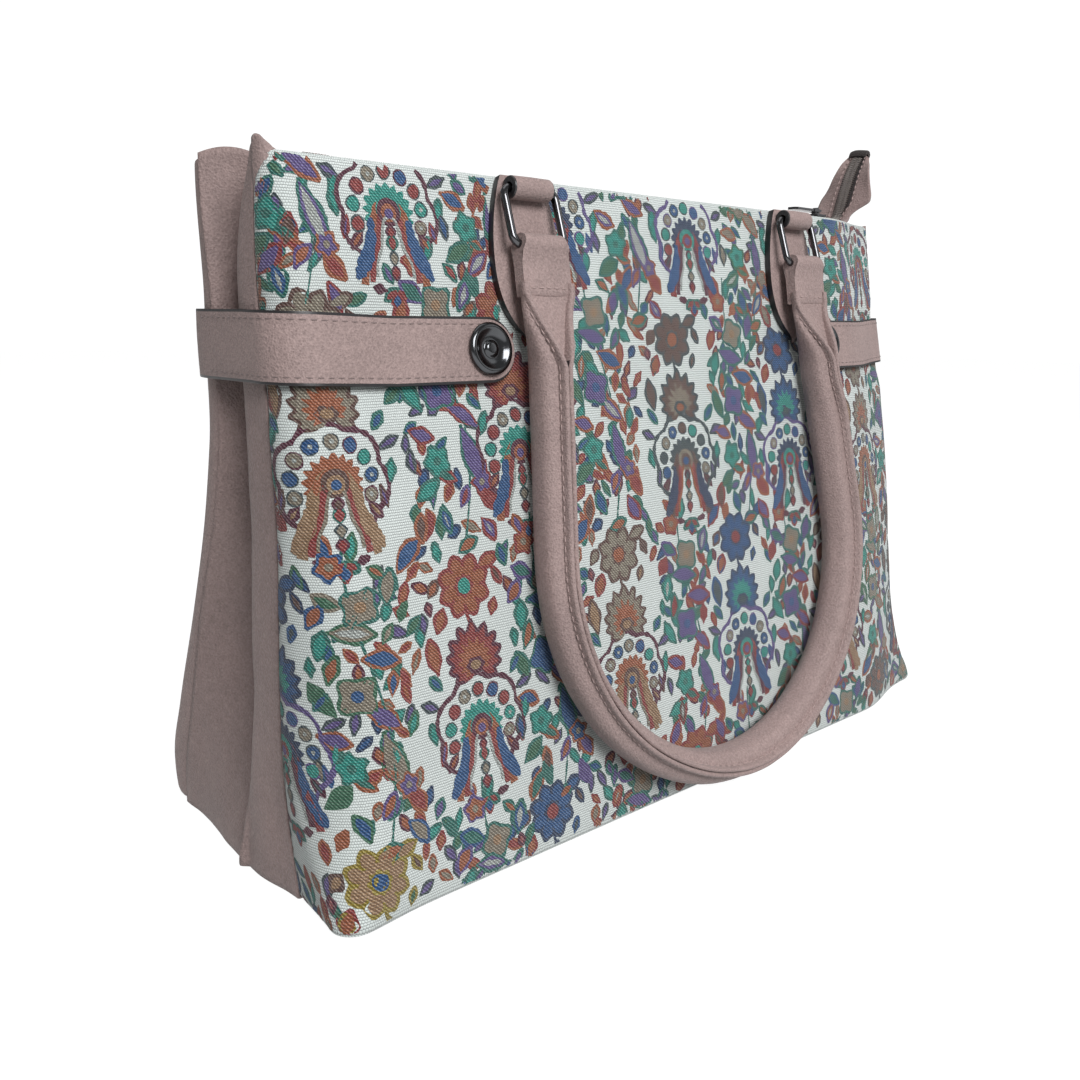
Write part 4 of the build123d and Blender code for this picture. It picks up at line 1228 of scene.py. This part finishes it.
# One arched flower: bands, fan, ring of dots, scalloped edge, crown and nodding flower above
def medallion(cloth, x, y, p):
    first, pale, inner = p["arch"]

    def arch(foot, shoulder, top, low):
        half = [(foot, low), (foot * 0.94, low + 5.0), (shoulder * 1.45, low + 11.0),
                (shoulder * 1.1, low + 18.0),
                (shoulder * 0.98, top - shoulder * 0.9), (shoulder * 0.72, top - shoulder * 0.35),
                (shoulder * 0.36, top - 0.4), (0, top)]
        return [(x + a, y + b) for a, b in half] + [(x - a, y + b) for a, b in half[:-1][::-1]]
    for sign in (-1, 1):
        skirt = ((8.6, -2), (9.2, -9), (11.6, -16), (15.6, -22.5), (17.5, -25.0))
        cloth.ribbon([(x + sign * a, y + b) for a, b in skirt], [2.0, 4.4, 6.2, 5.0, 1.6], p["side"], 4.5,
                     jag=0.5)
    cloth.ribbon(arch(14.2, 7.4, 4.5, -27), 3.6, first, 2, jag=0.4)
    cloth.ribbon(arch(10.8, 4.9, 1.4, -26), 2.6, "brick" if first != "brick" else "burgundy", 3, jag=0.3)
    cloth.ribbon(arch(8.4, 3.4, -1.2, -24), 1.3, pale, 4, jag=0.2)
    for k in range(11):
        a = 90 + (k - 5) * 21
        foot = x + 4.6 * cos(radians(a)), y + 0.2 + 4.6 * sin(radians(a))
        cloth.leaf(*foot, a, 7.0, 3.8, p["fan"][0], layer=1 + k % 2 * 0.5)
    heart = "blue" if p["side"] != "blue" else "lavender"
    discs = ((1.2, 5.8, p["fan"][0]), (0.6, 5.4, p["fan"][1]), (0.2, 3.6, first), (0.0, 2.0, heart))
    for k, (dy, radius, dye) in enumerate(discs):
        cloth.disc(x, y + dy, radius, dye, 2 + k)
    for dy, size, outline, fill in ((-7.0, 3.3, "burgundy", inner), (-11.0, 4.0, "teal", "brick"),
                                    (-17.0, 3.6, "slate", "beige"), (-22.4, 3.6, "burgundy", "brick")):
        cloth.bud(x, y + dy, 90, size * 1.7, size * 1.35, outline, fill, layer=4, rim=0.9)
    for k, dye in enumerate(p["dots"]):
        a = radians(-22 + k * 28.0)
        cx, cy = x + 15.6 * cos(a), y + 1.0 + 15.0 * sin(a)
        cloth.disc(cx, cy, 3.3, p["scallop"] if k % 3 == 0 else "slate", 1, jag=0.3)
        cloth.disc(cx, cy, 2.7, dye, 2, jag=0.3)
        if dye == "beige" or k % 4 == 1:
            cloth.disc(cx, cy, 0.9, "white", 3)
    a = np.linspace(radians(-52), radians(232), 130)
    r = 20.2 + 2.8 * np.abs(np.sin((a + radians(38)) * 180 / 28.0 / 2))
    cloth.ribbon(np.column_stack([x + r * np.cos(a), y + 1.0 + r * 0.96 * np.sin(a)]), 1.9, p["scallop"], 1,
                 jag=0.35)
    o, f = p["leaf"]
    for sign in (-1, 1):
        for dx, dy, turn, size, wide, a, b in (
                (15.5, -10.5, -52, 9.0, 4.6, "burgundy", f), (20.0, -6.0, -75, 9.5, 4.2, o, "lavender"),
                (24.0, 3.0, 78, 10.5, 5.4, "teal", "turquoise"),
                (24.5, 14.0, 24, 10.0, 5.2, "slate", "lavender"),
                (20.5, 22.5, 50, 9.5, 5.6, "teal", "blue"), (2.6, -30.5, -35, 8.2, 5.4, "teal", "brick"),
                (7.6, -28.5, 12, 6.4, 3.6, "burgundy", "teal"), (20.0, 33.0, 80, 17.0, 8.2, o, f),
                (15.5, 46.0, 96, 8.6, 5.6, o, "rust")):
            if sign < 0 or dy <= 30:
                turn = turn if sign > 0 else 180 - turn
                cloth.bud(x + sign * dx, y + dy, turn, size * cloth.dice.uniform(0.92, 1.1), wide, a, b)
    cloth.bud(x, y - 33.0, -90, 7.0, 5.6, "brick", "blue", rim=1.1)
    # Crown: a fan of toothed petals with paler hearts
    cy = y + 27.0
    crown = p["crown"]
    for k in range(11):
        a, size = 90 + (k - 5) * 24.5, 18.0 - abs(k - 5) * 1.05
        cloth.leaf(x, cy, a, size, 6.6, crown[0], crown[1], layer=k % 2 * 0.8, point=1.5)
        cloth.leaf(x, cy, a + 12, size * 0.72, 5.0, crown[1], crown[2], layer=3 + k % 2 * 0.5, point=1.4)
    for k in range(7):
        cloth.leaf(x, cy - 0.5, 90 + (k - 3) * 27, 8.6, 3.6, crown[2], crown[3], layer=5)
    cloth.disc(x, cy - 1.0, 4.6, crown[0], 5.5, petals=6, depth=0.1, squash=0.7)
    cloth.disc(x, cy - 1.0, 2.8, crown[3], 6.5, squash=0.7)
    # Nodding flower on its stem, with a spray to one side
    fx, fy = x - 1.5, y + 58.5
    edge, fill, heart = p["flower"]
    cloth.ribbon([(x, y + 42), (x - 1.5, y + 47), (fx, fy - 8)], 1.6, edge, 0)
    for k in range(8):
        a = k * 45 + 20
        foot = fx + 3.0 * cos(radians(a)), fy + 3.0 * sin(radians(a))
        cloth.leaf(*foot, a, 10.5, 8.6, edge, fill, layer=k % 2, point=1.3)
    cloth.disc(fx, fy, 7.0, fill, 3, petals=8, depth=0.1, jag=0.4)
    cloth.disc(fx, fy, 4.6, edge, 4, petals=8, depth=0.12, jag=0.3)
    cloth.disc(fx, fy, 3.4, heart, 5, jag=0.3)
    for dx, dy, turn, size, wide, a, b in (
            (13.0, 8.5, 20, 12.0, 7.0, edge, fill), (17.0, 2.0, -62, 9.5, 5.2, edge, "brown"),
            (-15.5, 1.0, 50, 9.0, 6.4, "brown", fill), (-13.5, -12.0, 66, 11.0, 7.2, "brick", "rust"),
            (-18.5, -6.5, 100, 6.5, 4.6, "burgundy", "pink"), (13.5, -10.5, 70, 8.0, 5.0, o, f)):
        cloth.bud(fx + dx, fy + dy, turn, size, wide, a, b)


# Upright vine between two arched flowers: each leaf's place from the vine's middle, turn, length,
# width and dyes
VINE = [
    (34, 59, 85, 12.5, 6.6, "rust", "brown"), (26, 50, 50, 15.5, 8.0, "rust", "blue"),
    (15, 39, 75, 13.5, 7.8, "teal", "lavender"), (10, 46, 140, 9.0, 5.0, "teal", "rust"),
    (-10, 38, 150, 12.5, 7.2, "lavender", "teal"), (-15, 31, 60, 11.0, 7.0, "brick", "rust"),
    (-1, 24, -10, 17.5, 8.4, "teal", "lavender"), (12.5, 22, 60, 9.5, 5.0, "teal", "lavender"),
    (-13, 20, 80, 12.5, 7.4, "teal", "turquoise"), (8, 12.5, -15, 16.5, 8.4, "rust", "blue"),
    (-10, 10.5, 70, 12.5, 6.4, "teal", "rust"), (-14.5, -1, 118, 14.0, 7.0, "teal", "green"),
    (11, 3.5, 80, 10.5, 5.6, "rust", "brick"), (7.5, -9.5, -35, 16.5, 7.6, "rust", "lavender"),
    (-12.5, -16, -20, 12.5, 7.2, "rust", "lavender"), (9.5, -27, -75, 25.5, 9.6, "teal", "lavender"),
    (-3.0, -34, -25, 10.5, 5.4, "rust", "teal"), (-13, -38, 30, 14.0, 7.6, "teal", "green"),
    (5, -42, 60, 10.5, 5.4, "lavender", "rust"), (17, -44, -50, 12.5, 7.4, "rust", "brick"),
    (-6, -50, 110, 12.0, 7.0, "teal", "blue"), (15.5, -56, -60, 12.5, 7.2, "brick", "lavender"),
    (-15, -54, 60, 9.0, 5.2, "rust", None), (4, -61, 20, 11.0, 6.4, "teal", "rust"),
    (-19, 46, 110, 9.0, 5.2, "teal", "blue"), (18.5, -14, 70, 10.0, 5.2, "teal", "turquoise"),
    (-19, -27, 100, 10.0, 5.0, "slate", "lavender"), (18.0, -1, 110, 8.5, 4.4, "brick", "rust"),
    (-18.0, 12, 95, 8.5, 4.6, "teal", "turquoise"), (20.0, 30, 60, 9.5, 4.8, "teal", "green"),
    (0.5, 56, 75, 10.5, 5.6, "teal", "turquoise"), (-9, 58, 120, 9.5, 5.4, "rust", "brick"),
]
VINE_FLOWERS = (
    (2, 34, 7.6, "teal", "beige", "sand", 4), (-2, 0.5, 8.0, "teal", "lavender", "blue", 4),
    (-7, -27, 6.2, "teal", "turquoise", "teal", 5), (14, -37, 5.0, "rust", "lavender", "beige", 5),
    (-7.5, 50, 5.4, "brick", "rust", "beige", 5),
)
CHANGES = [
    {}, {"lavender": "blue", "blue": "teal", "brick": "lavender"},
    {"rust": "brick", "green": "turquoise", "blue": "lavender"},
    {"teal": "green", "lavender": "beige", "brick": "blue"}, {"turquoise": "beige", "rust": "burgundy"},
]


def vine(cloth, x, y, seed):
    dice = np.random.default_rng(seed)
    change = CHANGES[int(dice.integers(len(CHANGES)))]

    def dye(name):
        return change.get(name, name) if dice.random() < 0.7 else name
    stem = [(x + 3.0 + 6.0 * sin(t * 5.2), y - 60 + 122 * t) for t in np.linspace(0, 1, 60)]
    cloth.ribbon(stem, 0.9, "teal", 0, jag=0.2)
    for dx, dy, turn, size, wide, outline, fill in VINE:
        turn, grow = turn + dice.uniform(-9, 9), dice.uniform(0.96, 1.16)
        cloth.bud(x + dx + dice.uniform(-0.8, 0.8), y + dy + dice.uniform(-0.8, 0.8), turn, size * grow,
                  wide * grow, dye(outline), dye(fill) if fill else None,
                  "white" if dice.random() < 0.22 else None, bend=dice.uniform(-1, 1))
    for dx, dy, radius, outline, fill, heart, petals in VINE_FLOWERS:
        cloth.flower(x + dx, y + dy, radius, dye(outline), dye(fill), heart, petals, dice.uniform(0, 60))


# Each row of arched flowers, from the base up: their places along the cloth, heights and dyes
ROWS = [
    ([-199, -110, -13, 79, 161, 243], [-40] * 6, ["gold", "blue", "red", "sand", "slate", "blue"]),
    ([-145, -56, 31, 118, 203, -233], [64, 64, 61, 55, 51, 64],
     ["red", "sand", "blue", "sand", "slate", "blue"]),
    ([-199, -110, -4, 81, 161, 243], [168, 173, 161, 155, 145, 143],
     ["sand", "red", "slate", "blue", "sand", "red"]),
    ([-162, -75, 13, 101, 189, -250], [268, 269, 267, 265, 263, 268],
     ["red", "blue", "blue", "sand", "red", "blue"]),
]
VINE_PLACES = [
    (-197, 88), (-106, 86), (-12, 82), (75, 78), (160, 72), (243, 68), (-146, 200), (-59, 198), (39, 188),
    (121, 180), (201, 172), (-240, 200), (-205, 292), (-118, 292), (-31, 290), (58, 288), (145, 286),
    (231, 284), (-145, -18), (-56, -18), (31, -20), (118, -22), (203, -24),
]
FILL_DYES = [
    ("teal", "turquoise"), ("teal", "lavender"), ("rust", "brick"), ("brick", "rust"), ("slate", "lavender"),
    ("teal", "blue"), ("burgundy", "rust"), ("teal", "green"), ("rust", "beige"), ("navy", "blue"),
]
CLEAR = ((-4, 33.5), (12, 32.0), (32, 25.0), (58, 20.0), (-32, 12.0))


# Small leaves between the vines' own, clear of the arched flowers by a white channel
def fill_leaves(cloth):
    dice = np.random.default_rng(77)
    holes = np.array([(x, z + up, radius) for xs, zs, _ in ROWS for x, z in zip(xs, zs)
                      for up, radius in CLEAR])
    for i, y in enumerate(np.arange(-4, RIM + 4, 6.8)):
        for x in np.arange(-262, 262, 7.6):
            u, v = x + 3.8 * (i % 2) + dice.uniform(-1.6, 1.6), y + dice.uniform(-1.6, 1.6)
            leaf = dice.uniform(20, 160), dice.uniform(7.5, 11.0), dice.uniform(4.2, 5.8)
            dyes = FILL_DYES[int(dice.integers(len(FILL_DYES)))]
            if (np.hypot(holes[:, 0] - u, holes[:, 1] - v) > holes[:, 2]).all() and dice.random() < 0.86:
                cloth.bud(u, v, *leaf, *dyes, layer=-1.5, rim=1.2)


def pattern(finish):
    cloth = Cloth(5)
    fill_leaves(cloth)
    for xs, zs, palettes in ROWS:
        for x, z, palette in zip(xs, zs, palettes):
            medallion(cloth, x, z, PALETTES[palette])
    for i, (x, z) in enumerate(VINE_PLACES):
        vine(cloth, x, z, 100 + i)
    s, z, lift = np.concatenate(cloth.points).T
    flat, arc, run = panel_lengths(True, np.clip(z, 0, RIM))[:3]
    limit = flat + arc + run - corner_cut(z, arc, run) * left_more(s) - 1.0
    keep = (np.abs(s) < limit) & (z > 2.0) & (z < RIM - 1.2)
    hidden = under_tab(s, z) > 0.995
    faces = np.array([f for f in cloth.faces if keep[list(f)].all() and not hidden[list(f)].all()])
    turned_under = np.interp(z, [1.5, 3.0, 5.2], [-1.2, -0.4, 0.0])
    place = nip(panel_surface(True, s, z, lift + puff(True, s, z) + turned_under)[0])
    used, faces = np.unique(faces, return_inverse=True)
    uv = np.column_stack([s, z / cos(FRONT_LEAN)])
    piece = mesh_piece("woven_motifs", place[used], faces.reshape(-1, 4).tolist(), [finish], uv[used],
                       angle=180)
    dye = piece.data.attributes.new("dye", "FLOAT_COLOR", "POINT")
    shades = np.column_stack([np.concatenate(cloth.colours)[used], np.ones(len(used))])
    dye.data.foreach_set("color", shades.astype(np.float32).ravel())
    return piece


# The frame's own hard pieces keep their shape and get a finish
def plain_materials():
    for node, shown in frame["nodes"].items():
        if node.startswith(("snap_socket", "snap_stud", "zip_slider", "zip_puller")):
            shown.data.materials.clear()
            shown.data.materials.append(nickel() if node.startswith("zip") else gunmetal())


CAMERA_PLACE = (-0.39224, -0.37962, 0.23057)
CAMERA_YAW, CAMERA_PITCH, CAMERA_ROLL = radians(41.616), radians(12.319), radians(0.705)


def camera():
    data = bpy.data.cameras.new("Camera")
    data.sensor_width, data.lens, data.clip_start = 36.0, sizes().lens, 0.01
    eye = bpy.data.objects.new("Camera", data)
    bpy.context.scene.collection.objects.link(eye)
    eye.matrix_world = (Matrix.Translation(CAMERA_PLACE) @ Matrix.Rotation(-CAMERA_YAW, 4, "Z")
                        @ Matrix.Rotation(pi / 2 - CAMERA_PITCH, 4, "X")
                        @ Matrix.Rotation(CAMERA_ROLL, 4, "Z"))
    bpy.context.scene.camera = eye


def area_light(name, place, target, size, power):
    light = bpy.data.lights.new(name, "AREA")
    light.shape = "RECTANGLE"
    light.size, light.size_y = size
    light.energy = power
    lamp = bpy.data.objects.new(name, light)
    bpy.context.scene.collection.objects.link(lamp)
    lamp.location = place
    lamp.rotation_euler = (Vector(target) - Vector(place)).to_track_quat("-Z", "Y").to_euler()


def stage():
    camera()
    bpy.ops.mesh.primitive_plane_add(size=12.0, location=(0, 0, 0))
    floor = bpy.context.active_object
    floor.name = "floor"
    floor.data.materials.append(material("Pale floor", lambda n: n.finish(
        (0.26, 0.26, 0.26, 1.0), 0.9, Emission_Color=(1.0, 1.0, 1.0, 1.0), Emission_Strength=0.93,
        Specular_IOR_Level=0.0)))
    floor.visible_diffuse = False
    world = bpy.data.worlds.new("Studio")
    bpy.context.scene.world = world
    world.use_nodes = True
    n = Nodes(world.node_tree)
    strength = n.plus(0.26, n.times(n.add("ShaderNodeLightPath").outputs["Is Camera Ray"], 0.8))
    sky = n.add("ShaderNodeBackground", {"Color": (1.0, 1.0, 1.0, 1.0), "Strength": strength})
    n.add("ShaderNodeOutputWorld", {0: sky.outputs[0]})
    area_light("Key", (-0.46, -1.74, 1.30), (0.0, 0.0, 0.15), (1.1, 0.9), 39.0)
    area_light("Side", (1.3, -1.0, 0.9), (0.0, 0.0, 0.15), (1.0, 1.0), 3.0)
    area_light("Top", (0.0, 0.2, 1.7), (0.0, 0.0, 0.1), (1.4, 1.0), 5.0)
    bpy.context.scene.view_settings.view_transform = "Standard"


class Step:
    """Runs one step's make and reports it as finished"""

    def execute(self, context):
        self.make()
        return {"FINISHED"}


class BAG_OT_stage(Step, bpy.types.Operator):
    """Adds the camera, the floor and the soft lights"""
    bl_idname = "bag.stage"
    bl_label = "Stage"

    def make(self):
        stage()


class BAG_OT_panels(Step, bpy.types.Operator):
    """Makes the woven front and the plain leather back"""
    bl_idname = "bag.panels"
    bl_label = "Front and back"

    def make(self):
        done(panel(True, woven("Woven ground", False)), "bag", "tapestry", "front_panel")
        done(panel(False, leather()), "bag", "mauve_leather", "back_panel")


class BAG_OT_pattern(Step, bpy.types.Operator):
    """Weaves the arched flowers and vines into the front"""
    bl_idname = "bag.pattern"
    bl_label = "Woven pattern"

    def make(self):
        done(pattern(woven("Woven colours", True)), "bag", "tapestry")


class BAG_OT_sides(Step, bpy.types.Operator):
    """Makes the folded gussets, the base and the inside"""
    bl_idname = "bag.sides"
    bl_label = "Gussets, base and inside"

    def make(self):
        for way in (-1, 1):
            # The gussets take a darker copy of the mauve leather, painted shade for the sides that face away
            # from the lights
            side = gusset(way, leather("Shaded gusset leather", 0.92, 0.42))
            done(side, "bag", "mauve_leather", "gusset_" + side_name(way))
        base = slab("base_cover", ((2.4, 3.4), (1.5, 2.8), (0.6, 3.2), (0.05, 5.0)), leather(), flip=True)
        done(base, "bag", "mauve_leather", "base_panel")
        board = slab("base_board_cover", ((2.9, 8.2), (3.0, 7.7), (4.9, 7.7), (5.0, 8.2)),
                     plain_cloth("Base board", (0.12, 0.11, 0.10)))
        done(board, "bag", "board", "base_board")
        done(lining(plain_cloth("Lining cloth", colours().lining)), "bag", "lining_cloth", "lining")
        for front in (True, False):
            done(facing(front, leather()), "bag", "mauve_leather", "top_facing_" + face_name(front))


class BAG_OT_straps(Step, bpy.types.Operator):
    """Makes the closing straps and their snap caps"""
    bl_idname = "bag.straps"
    bl_label = "Straps and snaps"

    def make(self):
        for way in (-1, 1):
            name = "strap_" + side_name(way)
            # The strap's stitches take a darker thread than the other seams, painted shade for the stitch
            # dips
            done(strap(way, leather(), edge_paint_and_gap_shade(), thread("Shaded strap thread", 0.62)), name, "mauve_leather",
                 name)
            done(snap_cap(way, gunmetal()), name, "gunmetal", "snap_cap_" + side_name(way))


class BAG_OT_rings(Step, bpy.types.Operator):
    """Makes the rings and the tabs that hold them"""
    bl_idname = "bag.rings"
    bl_label = "Rings and tabs"

    def make(self):
        for front in (True, False):
            for way in (-1, 1):
                ring(front, way, nickel())
                tab(front, way, leather(), edge_paint_and_gap_shade())


class BAG_OT_handles(Step, bpy.types.Operator):
    """Makes the two stitched handles"""
    bl_idname = "bag.handles"
    bl_label = "Handles"

    def make(self):
        for front in (True, False):
            handle(front, leather(), edge_paint_and_gap_shade(), thread())


class BAG_OT_zip(Step, bpy.types.Operator):
    """Makes the zip's wings, tapes, coil and folded end"""
    bl_idname = "bag.zip"
    bl_label = "Zip"

    def make(self):
        tape = plain_cloth("Zip tape", colours().zip, 0.6)
        coil = metal("Zip coil", (0.42, 0.38, 0.36), 0.35, 0.1)
        # The zip wings take a darker copy of the mauve leather as painted shade; the dark leather of the
        # tail's tab is its own colour
        zip_pieces(leather("Shaded wing leather", 0.9, 0.3), tape, coil, leather("Dark leather", 0.07, 0.3),
                   thread())
        plain_materials()


STEPS = (BAG_OT_stage, BAG_OT_panels, BAG_OT_pattern, BAG_OT_sides, BAG_OT_straps, BAG_OT_rings,
         BAG_OT_handles, BAG_OT_zip)


class BAG_PT_panel(bpy.types.Panel):
    """Lists the bag's steps and settings"""
    bl_idname = "BAG_PT_panel"
    bl_label = "Shoulder Bag"
    bl_space_type = "VIEW_3D"
    bl_region_type = "UI"
    bl_category = "Shoulder Bag"

    def draw(self, context):
        for step in STEPS:
            self.layout.operator(step.bl_idname)
        for group in (context.scene.bag_sizes, context.scene.bag_colours):
            for name in group.bl_rna.properties.keys():
                if name not in ("rna_type", "name"):
                    self.layout.prop(group, name)


CLASSES = (BagSizes, BagColours) + STEPS + (BAG_PT_panel,)


def register():
    for cls in CLASSES:
        bpy.utils.register_class(cls)
    bpy.types.Scene.bag_sizes = bpy.props.PointerProperty(type=BagSizes)
    bpy.types.Scene.bag_colours = bpy.props.PointerProperty(type=BagColours)


def unregister():
    del bpy.types.Scene.bag_sizes
    del bpy.types.Scene.bag_colours
    for cls in reversed(CLASSES):
        bpy.utils.unregister_class(cls)


def main():
    register()
    bpy.ops.bag.stage()
    bpy.ops.bag.panels()
    bpy.ops.bag.pattern()
    bpy.ops.bag.sides()
    bpy.ops.bag.straps()
    bpy.ops.bag.rings()
    bpy.ops.bag.handles()
    bpy.ops.bag.zip()


if __name__ == "__main__":
    main()
